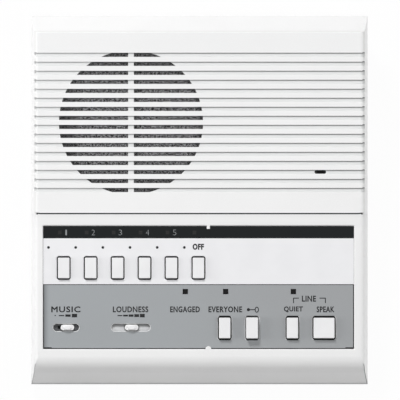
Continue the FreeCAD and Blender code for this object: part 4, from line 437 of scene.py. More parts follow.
def caseWhite():
    # pale case: moulding grain, settled dust, scuffs on edges, and painted shade in recesses, creases, grooves,
    # the parting line and along the bottom
    marks = caseMarks
    finish = Finish("caseWhite", marks)
    where, right, up, out = finish.lidAxes()
    drift, specks, skin, patches = finish.noises(where, "drift", "specks", "skin", "patches")
    fromEdge = abs(abs(right) - marks["edge"])
    fromSeam = marks["seamUp"] - up
    scuffs = finish.within(scuffWide=fromEdge, scuffPatch=patches)
    # dust where it can settle, which is also painted shade in the recesses below the face
    dust = finish.within(dustTop=out, dustFoot=out, dustUp=up)
    # painted shade: the parting line near black, soft shade below it, a band down to the window, a little on the
    # upper face and at the turned edges
    seam = finish.within(seamTop=out, seamFoot=out, seamHalf=abs(up - marks["seamUp"]), seamWide=abs(right))
    below = finish.within(shadeFar=fromSeam, shadeNear=fromSeam)
    band = finish.within(bandTop=up, bandFoot=up)
    upper = finish.within(upperUp=up, upperOut=out)
    turned = finish.within(turnWide=fromEdge, turnOut=out)
    # painted shade on the walls of the control window and in its two lower notches
    windowShade = finish.within(wallTop=out, wallFoot=out, wallWide=abs(right), wallUp=up, wallDown=up)
    notchShade = windowShade * finish.ease(abs(right), "notchWide") * finish.ease(up, "notchUp")
    # the floor of each groove gets painted shade, and its upper foot a painted shadow line
    step = louvreStep(up)
    inGroove = finish.within(grooveTop=out, grooveFoot=out, grooveUp=up, grooveDown=up)
    grooveShade = inGroove * finish.ease(step, "louvreHigh")
    line = inGroove * finish.ease(step, "louvreLine") * finish.ramp(right, "lineRight", "lineGrowth")
    rise = out - marks["lip"]
    sideGap = (marks["halfWidth"] - abs(right)) - rise * marks["sideLean"]
    frontGap = (marks["halfLength"] + up) - rise * marks["frontLean"]
    cornerGap = (abs(fromProfile(finish, sideGap, out, marks["sideLean"], marks["sideRoll"]))
                 + abs(fromProfile(finish, frontGap, out, marks["frontLean"], marks["frontRoll"])))
    # painted shade in the mitre creases, stronger to the right, on the rim, and towards the bottom of the front
    creaseShade = finish.within(creaseGap=cornerGap, creaseOut=out)
    rim = finish.within(rimOut=out, rimUp=up)
    bottomShade = finish.within(grimeOut=out, grimeUp=up)
    base = finish.coats(
        finish.fade(finish.total(driftShare=drift, speckShare=specks), "driftFrom", "pale", "drifted"),
        (dust, "dustShare", "dusty"),
        (scuffs, "scuffShare", "scuffed"),
        (creaseShade * finish.ramp(right, "creaseRight", "creaseGrowth"), "creased"),
        (rim, "rimShare", "creased"),
        (bottomShade, "grimeShare", "creased"),
        (finish.total(upperShare=upper, bandShare=band, belowShare=below, turnShare=turned), "shaded"),
        (grooveShade, "grooveShare", "shaded"),
        ((line * marks["lineShare"]).most(windowShade * marks["wallShare"]), "lined"),
        (notchShade, "notchShare", "seam"),
        (seam, "seam"))
    roughness = (marks["rough"] + skin.swing(marks["skinRough"]) + drift.swing(marks["driftRough"])
                 + dust * marks["dustRough"] - scuffs * marks["scuffRough"])
    return finish.done(base, roughness, finish.bump(skin))


plateMarks = {
    "grey": tone(162, 166, 169), "darker": tone(157, 159, 161), "glint": tone(184, 187, 189),
    "bare": tone(232, 233, 233), "wall": tone(18, 18, 19), "shade": tone(92, 94, 96),
    "paleWall": tone(128, 130, 132), "peel": 1.9, "specks": (5.5, 1.0), "drift": 0.02, "level": 0.35,
    "rough": 0.44, "swing": 0.2, "depth": 0.000012,
    "driftFrom": (0.35, 0.65), "driftShare": 0.2, "darkerRight": (-95.0, 100.0), "rightShare": 0.8,
    "speckFrom": (0.62, 0.74), "speckShare": 0.35,
    "left": -97.0, "leftShade": (4.6, -0.6), "leftShare": 0.55, "leftBend": 1.6,
    "paintFrom": (26.93, 26.98), "wallFrom": (26.66, 26.56), "wallTop": (26.97, 26.93),
    # the row of keys: middle, half height of its holes, and the hole of the locking key, whose walls get a paler
    # painted shade
    "keyRow": -79.7, "holeEnd": (7.2, 7.35), "rightHalf": (0.0, 2.0),
    "lockKey": 32.8, "lockWide": (5.6, 5.2), "lockHigh": (6.9, 6.5),
}


def greyPaint():
    # satin grey paint on the top of a pale plate: fine orange peel, specks, bare chamfers, and painted shade
    # towards the right, by the window's left edge and in the key holes
    marks = plateMarks
    finish = Finish("greyPaint", marks)
    where, right, up, out = finish.lidAxes()
    peel, specks, drift = finish.noises(where, "peel", "specks", "drift")
    # tone drifts at random, and painted shade darkens the paint towards the right
    spread = finish.total(rightShare=finish.ease(right, "darkerRight"), driftShare=finish.ease(drift, "driftFrom"))
    shaded = finish.ease(right - marks["left"], "leftShade") ** marks["leftBend"]
    base = finish.coats(
        finish.mix(spread, "grey", "darker"),
        (finish.ease(specks, "speckFrom"), "speckShare", "glint"),
        (shaded, "leftShare", "shade"))
    base = finish.fade(out, "paintFrom", "bare", base)
    # painted shade on the walls of the key holes, reaching up to the face at the hole ends on the right half,
    # paler round the lock key
    fromRow = abs(up - marks["keyRow"])
    endShade = finish.within(holeEnd=fromRow, rightHalf=right)
    wall = finish.ease(out, "wallFrom").most(endShade * finish.ease(out, "wallTop"))
    byLock = finish.within(lockWide=abs(right - marks["lockKey"]), lockHigh=fromRow)
    base = finish.mix(wall, base, finish.mix(byLock, "wall", "paleWall"))
    return finish.grained(base, peel)


capMarks = {"pale": tone(240, 240, 241), "drifted": tone(237, 237, 238), "skirt": tone(222, 222, 221),
            "polish": (27.6, 29.2), "skirtShare": 0.35, "skin": 3.2, "drift": (0.09, 2.0),
            "driftFrom": (0.35, 0.65), "level": 0.45, "rough": 0.42, "swing": 0.14, "depth": 0.000008,
            "rubbed": 0.10}


def keyCap(name, wallFrom, dark):
    # satin caps: fine grain, smoother and paler towards the top face, greyer lower down, and dark below the plate
    # as painted shade in the gap
    marks = capMarks
    finish = Finish(name, marks)
    where, right, up, out = finish.lidAxes()
    skin, drift = finish.noises(where, "skin", "drift")
    touch = finish.ease(out, "polish")
    base = finish.coats(
        finish.fade(drift, "driftFrom", "pale", "drifted"),
        (1 - touch, "skirtShare", "skirt"),
        # painted shade on the cap below the plate
        (finish.ease(out, wallFrom), dark))
    roughness = marks["rough"] - touch * marks["rubbed"] + skin.swing(marks["swing"])
    return finish.done(base, roughness, finish.bump(skin))


stationMarks = {"pale": tone(239, 239, 241), "drifted": tone(236, 236, 238), "hole": tone(40, 41, 42),
                "grain": 2.6, "drift": 0.05, "driftFrom": (0.35, 0.65), "holeFrom": (26.95, 26.75),
                "level": 0.35, "rough": 0.44, "swing": 0.14, "depth": 0.000012}


def stationPale():
    # pale satin plate with painted shade on the walls of its key holes
    marks = stationMarks
    finish = Finish("stationPale", marks)
    where, right, up, out = finish.lidAxes()
    grain, drift = finish.noises(where, "grain", "drift")
    base = finish.fade(drift, "driftFrom", "pale", "drifted")
    # painted shade on the walls of the key holes
    base = finish.fade(out, "holeFrom", base, "hole")
    return finish.grained(base, grain)


# the darkest grey is painted shade round the cap, at the top of the slot and under the cap
sliderMarks = {"up": -79.4, "halfBody": 2.45, "halfHigh": 1.8, "shutter": tone(222, 223, 225),
               "rim": tone(74, 75, 76), "pale": tone(242, 242, 243), "worn": tone(236, 236, 236),
               "skin": 3.2, "wornFrom": (0.4, 0.65), "lowFrom": (26.6, 26.2), "gapFrom": (1.1, 0.1),
               "gapShare": 0.8, "upperShade": (-0.6, 2.2), "upperShare": 0.75, "underOut": (28.28, 27.8),
               "underUp": (0.7, 1.6), "underShare": 0.75,
               "level": 0.45, "rough": 0.38, "swing": 0.14, "depth": 0.000008}


def sliderCap(name, middle):
    # slider knob: pale cap, greyer shutter, and painted shade where the two meet, towards the top of the slot and
    # under the cap
    marks = sliderMarks
    finish = Finish(name, marks)
    where, right, up, out = finish.lidAxes()
    skin = finish.noise(where, "skin")
    beside = (abs(right - middle) - marks["halfBody"]).most(0.0)
    gap = (beside ** 2.0 + (up - marks["up"]) ** 2.0) ** 0.5 - marks["halfHigh"]
    low = finish.ease(out, "lowFrom")
    underShade = (1 - low) * finish.ease(out, "underOut") * finish.ease(marks["up"] - up, "underUp")
    base = finish.coats(
        finish.fade(skin, "wornFrom", "pale", "worn"),
        (low, "shutter"),
        # painted shade round the cap, towards the slot's top, and under the cap's lower edge
        (low * finish.ease(gap, "gapFrom"), "gapShare", "rim"),
        (low * finish.ease(up - marks["up"], "upperShade"), "upperShare", "rim"),
        (underShade, "underShare", "rim"))
    return finish.grained(base, skin)


# finishes of what is inside

speakerAxis = (-42.7, 48.4)


def fromAxis(right, up):               # distance from the speaker's axis
    return ((right - speakerAxis[0]) ** 2.0 + (up - speakerAxis[1]) ** 2.0) ** 0.5


coated = {"peel": 1.6, "peelFrom": (0.35, 0.7), "chips": (0.55, 5.0, 0.65), "chipFrom": (0.685, 0.70),
          "level": 0.4, "rough": 0.42, "swing": 0.2, "chipRough": 0.1, "chipDepth": 0.6, "depth": 0.00003,
          "black": (0.020, 0.020, 0.022), "worn": (0.034, 0.034, 0.036), "bare": (0.42, 0.41, 0.40)}


def coatedSteel():
    # black coated sheet: orange peel, and bare steel in small chips
    finish = Finish("coatedSteel", coated)
    where = finish.lidPlace()
    peel = finish.noise(where, "peel")
    chips = finish.ease(finish.noise(where, "chips"), "chipFrom")
    base = finish.fade(peel, "peelFrom", "black", "worn")
    base = finish.mix(chips, base, "bare")
    roughness = coated["rough"] + peel.swing(coated["swing"]) + chips * coated["chipRough"]
    return finish.done(base, roughness, finish.bump(peel - chips * coated["chipDepth"]), chips)


ferrite = {"grains": 3.0, "grainFrom": (0.1, 0.7), "grainDepth": 0.5, "pits": (1.1, 4.0, 0.6),
           "pitFrom": (0.62, 0.72), "rough": 0.66, "swing": 0.3, "depth": 0.00005,
           "grey": (0.050, 0.050, 0.054), "dark": (0.026, 0.026, 0.028), "facet": (0.10, 0.10, 0.105)}


def sinteredFerrite():
    # magnet: dull grey grains, pits and a few bright facets
    finish = Finish("sinteredFerrite", ferrite)
    where = finish.lidPlace()
    grains = finish.node("ShaderNodeTexVoronoi", values={"Vector": where, "Scale": ferrite["grains"]})
    pits = finish.noise(where, "pits")
    base = finish.fade(grains, "grainFrom", "grey", "dark")
    base = finish.fade(pits, "pitFrom", base, "facet")
    return finish.grained(base, pits, grains * ferrite["grainDepth"] + pits)


pulp = {"stretch": 0.22, "fibres": (3.0, 4.0, 0.65, 0.8), "rings": 2.2, "ringTint": 0.03, "ringDepth": 0.12,
        "level": 0.2, "lightFrom": (0.4, 0.62), "rough": 0.82,
        "swing": 0.2, "depth": 0.00006,
        "light": (0.052, 0.050, 0.048), "dark": (0.018, 0.018, 0.018)}


def conePulp():
    # pressed pulp: fibres every way, faint rings round the speaker's axis
    finish = Finish("conePulp", pulp)
    where, right, up, out = finish.lidAxes()
    fibres, crossed = [
        finish.noise(finish.stretched(where, stretch), "fibres")
        for stretch in ((1.0, pulp["stretch"], 1.0), (pulp["stretch"], 1.0, 1.0))]
    ring = (fromAxis(right, up) * pulp["rings"]).wave()
    mass = fibres * 0.5 + crossed * 0.5
    base = finish.fade(mass + ring * pulp["ringTint"], "lightFrom", "dark", "light")
    return finish.grained(base, mass, mass + ring * pulp["ringDepth"])


lacquer = {"thread": 0.55, "threadFrom": (-0.4, 0.6), "rings": 1.4, "pooled": 0.5, "pooledFrom": (0.5, 0.7),
           "pooledShare": 0.6, "pooledRough": 0.2, "threadDepth": 0.5, "ringDepth": 0.1, "level": 0.4,
           "dark": (0.045, 0.032, 0.020), "amber": (0.150, 0.110, 0.068), "pool": (0.085, 0.050, 0.022),
           "rough": 0.60, "depth": 0.00006}


def lacqueredCloth():
    # impregnated cotton of the surround and the spider: weave under amber lacquer
    finish = Finish("lacqueredCloth", lacquer)
    where, right, up, out = finish.lidAxes()
    turn = 2 * math.pi / lacquer["thread"]
    threads = (right * turn).wave() * (up * turn).wave()
    ring = (fromAxis(right, up) * lacquer["rings"]).wave()
    pooled = finish.ease(finish.noise(where, "pooled"), "pooledFrom")
    base = finish.fade(threads, "threadFrom", "dark", "amber")
    base = finish.coats(base, (pooled, "pooledShare", "pool"))
    return finish.done(base, lacquer["rough"] - pooled * lacquer["pooledRough"],
                       finish.bump(finish.total(threadDepth=threads, ringDepth=ring)))


winding = {"pitch": 0.24, "turnFrom": (-0.8, 0.6), "cloud": 0.8, "cloudFrom": (0.45, 0.7), "cloudShare": 0.5,
           "metallic": 1.0,
           "rough": 0.30, "swing": 0.2, "depth": 0.00005,
           "gap": (0.22, 0.075, 0.030), "copper": (0.78, 0.36, 0.18), "dull": (0.50, 0.20, 0.08)}


def copperWinding():
    # enamelled wire wound turn by turn along the speaker's axis, darker between the turns as painted shade
    finish = Finish("copperWinding", winding)
    where, right, up, out = finish.lidAxes()
    turns = (out * (2 * math.pi / winding["pitch"])).wave()
    cloud = finish.noise(where, "cloud")
    # the darker tint between the turns is painted shade
    base = finish.fade(turns, "turnFrom", "gap", "copper")
    base = finish.coats(base, (finish.ease(cloud, "cloudFrom"), "cloudShare", "dull"))
    return finish.grained(base, cloud, turns)


card = {"stretch": (0.3, 1.0, 1.0), "lightFrom": (0.38, 0.64), "specks": (4.0, 1.0),
        "speckFrom": (0.66, 0.72), "speckShare": 0.6, "speckTint": 0.4, "level": 0.2, "rough": 0.86,
        "swing": 0.15, "depth": 0.00005}


def fibreCard(name, light, dark, grain):
    # pressed card: layered fibres and stray specks
    finish = Finish(name, card)
    where = finish.lidPlace()
    fibres = finish.noise(finish.stretched(where, "stretch"), (grain, 5.0, 0.65, 0.5))
    specks = finish.noise(where, "specks")
    base = finish.fade(fibres, "lightFrom", dark, light)
    base = finish.coats(base, (finish.ease(specks, "speckFrom"), "speckShare", dimmed(dark, card["speckTint"])))
    return finish.grained(base, fibres)


board = {"laminate": (0.30, 0.20, 0.075), "fibre": (0.22, 0.14, 0.050), "track": (0.12, 0.20, 0.055),
         "trackScale": 0.16, "trackFrom": (0.115, 0.10), "stagger": 0.85, "stretch": (0.15, 1.0, 1.0),
         "fibres": (1.8, 4.0, 0.6), "fibreFrom": (0.4, 0.62), "rough": 0.40, "swing": 0.1, "trackRough": 0.12,
         "fibreDepth": 0.2, "depth": 0.00003}


def circuitBoard():
    # phenolic laminate with lacquered copper tracks that run square to each other
    finish = Finish("circuitBoard", board)
    where = finish.lidPlace()
    nearest, second = [
        finish.node("ShaderNodeTexVoronoi", {"feature": feature, "distance": "CHEBYCHEV"},
                    {"Vector": where, "Scale": board["trackScale"], "Randomness": board["stagger"]})
        for feature in ("F1", "F2")]
    track = finish.ease(second - nearest, "trackFrom")
    fibres = finish.noise(finish.stretched(where, "stretch"), "fibres")
    base = finish.fade(fibres, "fibreFrom", "laminate", "fibre")
    base = finish.mix(track, base, "track")
    return finish.done(base, board["rough"] - track * board["trackRough"] + fibres.swing(board["swing"]),
                       finish.bump(track + fibres * board["fibreDepth"]))


sleeve = {"stretch": (1.0, 1.0, 0.2), "ripple": 0.9, "rippleFrom": (0.35, 0.65), "stripe": 0.11,
          "stripeFrom": (0.93, 0.97), "stripeShare": 0.8, "rough": 0.28, "swing": 0.2, "depth": 0.00004,
          "blue": (0.014, 0.030, 0.110), "paler": (0.022, 0.042, 0.150), "mark": (0.55, 0.57, 0.60)}


def shrunkSleeve():
    # capacitor sleeves: blue film with a pale side stripe
    finish = Finish("shrunkSleeve", sleeve)
    where, right, up, out = finish.lidAxes()
    ripple = finish.noise(finish.stretched(where, "stretch"), "ripple")
    stripe = finish.ease(abs((right * sleeve["stripe"]).wave()), "stripeFrom")
    base = finish.fade(ripple, "rippleFrom", "blue", "paler")
    base = finish.coats(base, (stripe, "stripeShare", "mark"))
    return finish.grained(base, ripple)


insulation = {"splitFrom": (-0.15, 0.15), "bloom": 0.7, "bloomFrom": (0.5, 0.7), "bloomShare": 0.25,
              "bloomTint": (0.42, 0.42, 0.42), "level": 0.4, "rough": 0.46, "swing": 0.2, "depth": 0.00006}


def wirePlastic(name, first, second, pitch):
    # soft insulation: one tint for each conductor, with a groove between them
    finish = Finish(name, insulation)
    where, right, up, out = finish.lidAxes()
    phase = (right * (math.pi / pitch)).wave()
    bloom = finish.noise(where, "bloom")
    base = finish.fade(phase, "splitFrom", first, second)
    base = finish.coats(base, (finish.ease(bloom, "bloomFrom"), "bloomShare", "bloomTint"))
    return finish.grained(base, bloom, abs(phase))


rubber = {"pits": (2.4, 3.0, 0.6), "bloom": (0.25, 4.0, 0.6), "level": 0.25, "bloomFrom": (0.42, 0.68),
          "rough": 0.84, "swing": 0.15, "depth": 0.00004,
          "black": (0.022, 0.022, 0.022), "bloomed": (0.050, 0.049, 0.047)}


def blackRubber():
    # soft matt rubber: fine pits, grey bloom and dust
    finish = Finish("blackRubber", rubber)
    where = finish.lidPlace()
    pits, bloom = finish.noises(where, "pits", "bloom")
    base = finish.fade(bloom, "bloomFrom", "black", "bloomed")
    return finish.grained(base, pits)


lamp = {"frost": 1.4, "frostFrom": (0.4, 0.65), "red": (0.30, 0.012, 0.010), "frosted": (0.42, 0.035, 0.028),
        "rough": 0.24, "swing": 0.2, "depth": 0.000008}


def lampRed():
    # diffused red lamp: paler frosted patches
    finish = Finish("lampRed", lamp)
    where = finish.lidPlace()
    frost = finish.noise(where, "frost")
    base = finish.fade(frost, "frostFrom", "red", "frosted")
    return finish.grained(base, frost)


can = {"feltDepth": (0.35, 0.15), "fuzz": (4.5, 4.0, 0.7), "fuzzFrom": (0.4, 0.65),
       "stretch": (1.0, 1.0, 0.06), "streaks": 2.5, "streakFrom": (0.35, 0.65), "streakDepth": 0.1,
       "metal": (0.70, 0.71, 0.72), "dull": (0.58, 0.59, 0.60), "felt": (0.004, 0.004, 0.004),
       "worn": (0.012, 0.012, 0.012), "rough": 0.36, "feltRough": 0.55, "swing": 0.1, "depth": 0.00003}


def capsule(front):
    # microphone: drawn can with a black felt disc on its front
    finish = Finish("microphoneCan", can)
    where, right, up, out = finish.lidAxes()
    felt = finish.ease(out, [front - depth for depth in can["feltDepth"]])
    fuzz = finish.noise(where, "fuzz")
    streaks = finish.noise(finish.stretched(where, "stretch"), "streaks")
    base = finish.mix(felt, finish.fade(streaks, "streakFrom", "metal", "dull"),
                      finish.fade(fuzz, "fuzzFrom", "felt", "worn"))
    return finish.done(base, can["rough"] + felt * can["feltRough"] + streaks.swing(can["swing"]),
                       finish.bump(fuzz * felt + streaks * can["streakDepth"]), 1 - felt)


def outOf(item):                       # how far out of the lid a part reaches, in millimetres
    return max((vertex.co - lidOrigin).dot(outLid) for vertex in item.data.vertices) / milli


# one finish for each material slot of the record, and own ones for a few parts
finishes = {
    "white_abs": caseWhite(),
    "base_abs": moulded("basePale", tone(232, 232, 230), tone(226, 226, 222), 0.5, 2.2, 0.00003),
    "chassis_abs": moulded("chassisDark", (0.016, 0.016, 0.018), (0.024, 0.024, 0.026), 0.55, 2.4, 0.00002),
    "grey_panel": greyPaint(),
    "smoked_acrylic": smokedWindow("smokedStrip", (0.0035, 0.0052, 0.0060), 0.17, 0.13),
    "key_plastic": keyCap("keyCap", (27.0, 26.7), tone(18, 18, 19)),
    "dark_plastic": moulded("switchBlack", (0.030, 0.030, 0.033), (0.045, 0.045, 0.047), 0.45, 2.4, 0.00002),
    "steel": bareMetal("zincPlate", (0.62, 0.62, 0.63), (0.50, 0.49, 0.46), 0.34, 2.0, 0.000006),
    "spring_steel": bareMetal("springWire", (0.66, 0.66, 0.67), (0.48, 0.48, 0.50), 0.26, 4.0, 0.000004),
    "aluminium": bareMetal("millAluminium", (0.72, 0.73, 0.74), (0.60, 0.61, 0.62), 0.36, 3.0, 0.000006),
    "brass": bareMetal("screwBrass", (0.72, 0.55, 0.27), (0.56, 0.42, 0.20), 0.32, 2.5, 0.000006),
    "black_steel": coatedSteel(),
    "ferrite": sinteredFerrite(),
    "cone_paper": conePulp(),
    "treated_cloth": lacqueredCloth(),
    "copper_coil": copperWinding(),
    "gasket_card": fibreCard("gasketCard", (0.34, 0.30, 0.24), (0.22, 0.19, 0.15), 1.6),
    "circuit_board": circuitBoard(),
    "capacitor_sleeve": shrunkSleeve(),
    "wire_pvc": wirePlastic("ribbonGrey", (0.30, 0.30, 0.31), (0.24, 0.24, 0.25), 1.27),
    "fibre_board": fibreCard("brownFibre", (0.26, 0.12, 0.05), (0.16, 0.07, 0.03), 2.2),
    "rubber": blackRubber(),
    "block_plastic": moulded("blockBlack", (0.024, 0.024, 0.026), (0.040, 0.040, 0.042), 0.5, 1.8, 0.00003),
    "lamp_lens": lampRed(),
}
ownFinishes = {
    "station_plate": stationPale(),
    "status_lenses": smokedWindow("lensSmoke", (0.002, 0.002, 0.0022), 0.16, 0.16),
    "lock_key": keyCap("lockCap", (26.2, 25.2), tone(120, 122, 124)),
    "voice_slider_knob": sliderCap("voiceCap", -42.3),
    "music_slider_knob": sliderCap("musicCap", -82.3),
    "music_slide_switch": moulded("switchGrey", (0.095, 0.099, 0.106), (0.130, 0.134, 0.140), 0.5, 2.4, 0.00002),
    "microphone": capsule(outOf(nodes["microphone"])),
    "speaker_leads": wirePlastic("speakerWire", (0.030, 0.030, 0.032), (0.32, 0.022, 0.018), 14.0),
    "microphone_leads": wirePlastic("screenedWire", (0.16, 0.16, 0.17), (0.12, 0.12, 0.13), 3.0),
}
for name, item in nodes.items():
    for holder in item.material_slots:
        slotName = holder.material.name
        if slotName in finishes:       # the cloth is made anew further down
            holder.material = ownFinishes.get(name, finishes[slotName])
print("finishes ready")


# printing: words and signs, each a thin closed layer on its plate

printing = {
    "thick": 0.025, "bold": 0.14,      # the ink, and how far each stroke is widened
    "letterHeight": 3.74, "spacing": 1.12, "curveSteps": 3, "merge": 1e-5, "sharpest": 0.6,
    "words": [                         # text, left, right, foot
        ("MUSIC", -92.4, -74.2, -69.97), ("LOUDNESS", -54.0, -31.9, -69.97),
        ("ENGAGED", -18.3, 0.2, -69.97), ("EVERYONE", 5.6, 26.6, -69.97),
        ("QUIET", 52.6, 64.4, -69.97), ("SPEAK", 73.0, 84.0, -69.97), ("LINE", 63.8, 72.6, -63.3),
    ],
    "bracket": {"left": 58.57, "right": 78.45, "top": -61.1, "foot": -64.2, "innerLeft": 61.9,
                "innerRight": 74.8, "line": 0.56},
    "keySign": {"dot": (30.5, -68.3), "dotRadius": 1.0, "shaft": (31.4, 34.465), "ring": (35.7, -68.3),
                "ringHalf": (1.3, 1.85), "line": 0.58},
    "dotSides": 24, "ringSides": 32,
}


def layer(name, outline, level, thick, paint):
    # outline: closed polygons of lid points; each one becomes a thin closed slab
    build = bmesh.new()
    for loop in outline:
        low, high = [[build.verts.new(onLid(x, y, out)) for x, y in loop] for out in (level, level + thick)]
        build.faces.new(low[::-1])
        build.faces.new(high)
        for index in range(len(loop)):
            after = (index + 1) % len(loop)
            build.faces.new((low[index], low[after], high[after], high[index]))
    return linked(name, meshOf(name, build, paint))


def lettering(text, left, right, foot, height, level, bold=printing["bold"]):
    # a flat word, fitted to its width and height, as a mesh on the lid
    curve = bpy.data.curves.new("word", "FONT")
    curve.body = text
    curve.size = 1.0
    curve.resolution_u = printing["curveSteps"]
    curve.extrude = 0.5
    curve.space_character = printing["spacing"]
    holder = linked("word", curve)
    shape = evaluatedMesh(holder)
    bpy.data.objects.remove(holder)
    build = bmesh.new()
    build.from_mesh(shape)
    bmesh.ops.remove_doubles(build, verts=build.verts, dist=printing["merge"])
    spots = [vertex.co for vertex in build.verts]
    lowX, highX = min(s.x for s in spots), max(s.x for s in spots)
    lowY, highY = min(s.y for s in spots), max(s.y for s in spots)
    for vertex in build.verts:
        vertex.co = Vector((left + bold + (vertex.co.x - lowX) / (highX - lowX) * (right - left - 2 * bold),
                            foot + bold + (vertex.co.y - lowY) / (highY - lowY) * (height - 2 * bold),
                            1.0 if vertex.co.z > 0 else 0.0))
    bmesh.ops.recalc_face_normals(build, faces=build.faces)
    widened = {}
    for vertex in build.verts:
        sides = [face.normal.copy() for face in vertex.link_faces if abs(face.normal.z) < 0.5]
        middle = sum(sides, Vector()).normalized()
        widened[vertex] = vertex.co + middle * bold / max(middle.dot(sides[0]), printing["sharpest"])
    for vertex, (x, y, top) in widened.items():
        vertex.co = onLid(x, y, level + printing["thick"] * top)
    build.to_mesh(shape)
    build.free()
    return shape


def wordsPiece(name, shapes, paint):   # several words as one piece
    build = bmesh.new()
    for shape in shapes:
        build.from_mesh(shape)
        bpy.data.meshes.remove(shape)
    bmesh.ops.remove_doubles(build, verts=build.verts, dist=doubles)
    bmesh.ops.recalc_face_normals(build, faces=build.faces)
    for face in build.faces:
        face.material_index = 0
    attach(linked(name, meshOf(name, build, paint)), "housing")


inkLook = {"pores": (6.0, 2.0), "patch": 0.8, "poreShare": 0.6, "patchShare": 0.4, "wornFrom": (0.45, 0.68),
           "level": 0.3, "rough": 0.5, "swing": 0.2, "depth": 0.000004}


def ink(name, tint, worn):
    # screen-printed ink: pinholes and a slightly broken edge of tone
    finish = Finish(name, inkLook)
    where = finish.lidPlace()
    pores, patch = finish.noises(where, "pores", "patch")
    base = finish.fade(finish.total(poreShare=pores, patchShare=patch), "wornFrom", tint, worn)
    return finish.grained(base, pores)


darkInk = ink("darkInk", (0.004, 0.004, 0.005), (0.010, 0.010, 0.011))
paleInk = ink("paleInk", (0.29, 0.30, 0.31), (0.22, 0.23, 0.24))
windowTint = smokedWindow("lampWindow", (0.018, 0.018, 0.018), 0.17, 0.2)
plateLevel = panel["plateFace"]
wordsPiece("functionWords", [
    lettering(text, left, right, foot, printing["letterHeight"], plateLevel)
    for text, left, right, foot in printing["words"]], darkInk)


def box(left, right, foot, top):
    return [(left, foot), (right, foot), (right, top), (left, top)]


def ellipse(middle, halfWide, halfHigh, count):
    return [(middle[0] + halfWide * math.cos(2 * math.pi * step / count),
             middle[1] + halfHigh * math.sin(2 * math.pi * step / count)) for step in range(count)]


def bentLine(points, width):
    # a line of even width with square bends, as one closed outline
    left, right = [], []
    for index, (x, y) in enumerate(points):
        before = points[max(index - 1, 0)]
        after = points[min(index + 1, len(points) - 1)]
        run = Vector((after[0] - before[0], after[1] - before[1])).normalized()
        side = Vector((-run.y, run.x)) * width / 2
        if 0 < index < len(points) - 1:
            side *= math.sqrt(2.0)
        left.append((x + side.x, y + side.y))
        right.append((x - side.x, y - side.y))
    return right + left[::-1]


def ringSlab(name, middle, half, line, level, thick, paint):
    count = printing["ringSides"]
    outer = ellipse(middle, half[0], half[1], count)
    inner = ellipse(middle, half[0] - line, half[1] - line, count)
    build = bmesh.new()
    rows = [[build.verts.new(onLid(x, y, out)) for x, y in loop]
            for loop, out in ((outer, level), (outer, level + thick), (inner, level + thick), (inner, level))]
    for index in range(count):
        after = (index + 1) % count
        for first, second in zip(rows, rows[1:] + rows[:1]):
            build.faces.new((first[index], first[after], second[after], second[index]))
    return linked(name, meshOf(name, build, paint))


bracket, sign = printing["bracket"], printing["keySign"]
leftArm = [(bracket["left"], bracket["foot"]), (bracket["left"], bracket["top"]),
           (bracket["innerLeft"], bracket["top"])]
rightArm = [(bracket["innerRight"], bracket["top"]), (bracket["right"], bracket["top"]),
            (bracket["right"], bracket["foot"])]
signs = [
    bentLine(leftArm, bracket["line"]),
    bentLine(rightArm, bracket["line"]),
    ellipse(sign["dot"], sign["dotRadius"], sign["dotRadius"], printing["dotSides"]),
    box(*sign["shaft"], sign["dot"][1] - sign["line"] / 2, sign["dot"][1] + sign["line"] / 2),
]
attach(layer("functionSigns", signs, plateLevel, printing["thick"], darkInk), "housing")
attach(ringSlab("lockSignRing", sign["ring"], sign["ringHalf"], sign["line"], plateLevel, printing["thick"],
                 darkInk), "housing")
print("printing on the function plate ready")


# marks that repeat: bars that grow, dots and lamp windows

rowInputs = {"Count": "NodeSocketInt", "Pitch": "NodeSocketFloat", "Length": "NodeSocketFloat",
             "First height": "NodeSocketFloat", "Last height": "NodeSocketFloat",
             "Thickness": "NodeSocketFloat"}
roundSides = 20


def growTree(name, paint, squareShape):
    # a row of marks: each one further along and taller than the one before
    group = bpy.data.node_groups.new(name, "GeometryNodeTree")
    group.interface.new_socket("Geometry", in_out="OUTPUT", socket_type="NodeSocketGeometry")
    sockets = {label: group.interface.new_socket(label, in_out="INPUT", socket_type=kind)
               for label, kind in rowInputs.items()}
    tree = Tree(group)
    count, pitch, length, first, last, thick = tree.outputs(tree.node("NodeGroupInput"), *rowInputs)
    offset = tree.node("ShaderNodeCombineXYZ", values={"X": pitch})
    line = tree.node("GeometryNodeMeshLine", values={"Count": count, "Offset": offset})
    if squareShape:
        shape = tree.node("GeometryNodeMeshCube", values={"Size": (1.0, 1.0, 1.0)})
    else:
        shape = tree.node("GeometryNodeMeshCylinder", values={
            "Vertices": roundSides, "Radius": 0.5, "Depth": 1.0})
    share = tree.node("GeometryNodeInputIndex") / (count - 1.0).most(1.0)
    size = tree.node("ShaderNodeCombineXYZ", values={
        "X": length, "Y": first + (last - first) * share, "Z": thick})
    put = tree.node("GeometryNodeInstanceOnPoints", values={"Points": line, "Instance": shape, "Scale": size})
    whole = tree.node("GeometryNodeRealizeInstances", values={0: put})
    painted = tree.node("GeometryNodeSetMaterial", values={0: whole, "Material": paint})
    group.links.new(painted.socket, group.nodes.new("NodeGroupOutput").inputs[0])
    return group, {label: socket.identifier for label, socket in sockets.items()}


def growRow(name, paint, squareShape, start, level, sizes):
    group, inputs = growTree(name + "Tree", paint, squareShape)
    holder = linked(name + "Maker", bpy.data.meshes.new(name + "Maker"))
    maker = holder.modifiers.new("marks", "NODES")
    maker.node_group = group
    for label, value in sizes.items():
        maker[inputs[label]] = value
    holder.data.update()
    mesh = evaluatedMesh(holder)
    holder.modifiers.remove(maker)
    bpy.data.objects.remove(holder)
    for vertex in mesh.vertices:
        x, y, z = vertex.co
        vertex.co = onLid(start[0] + x, start[1] + y, level + sizes["Thickness"] / 2 + z)
    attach(linked(name, mesh), "housing")


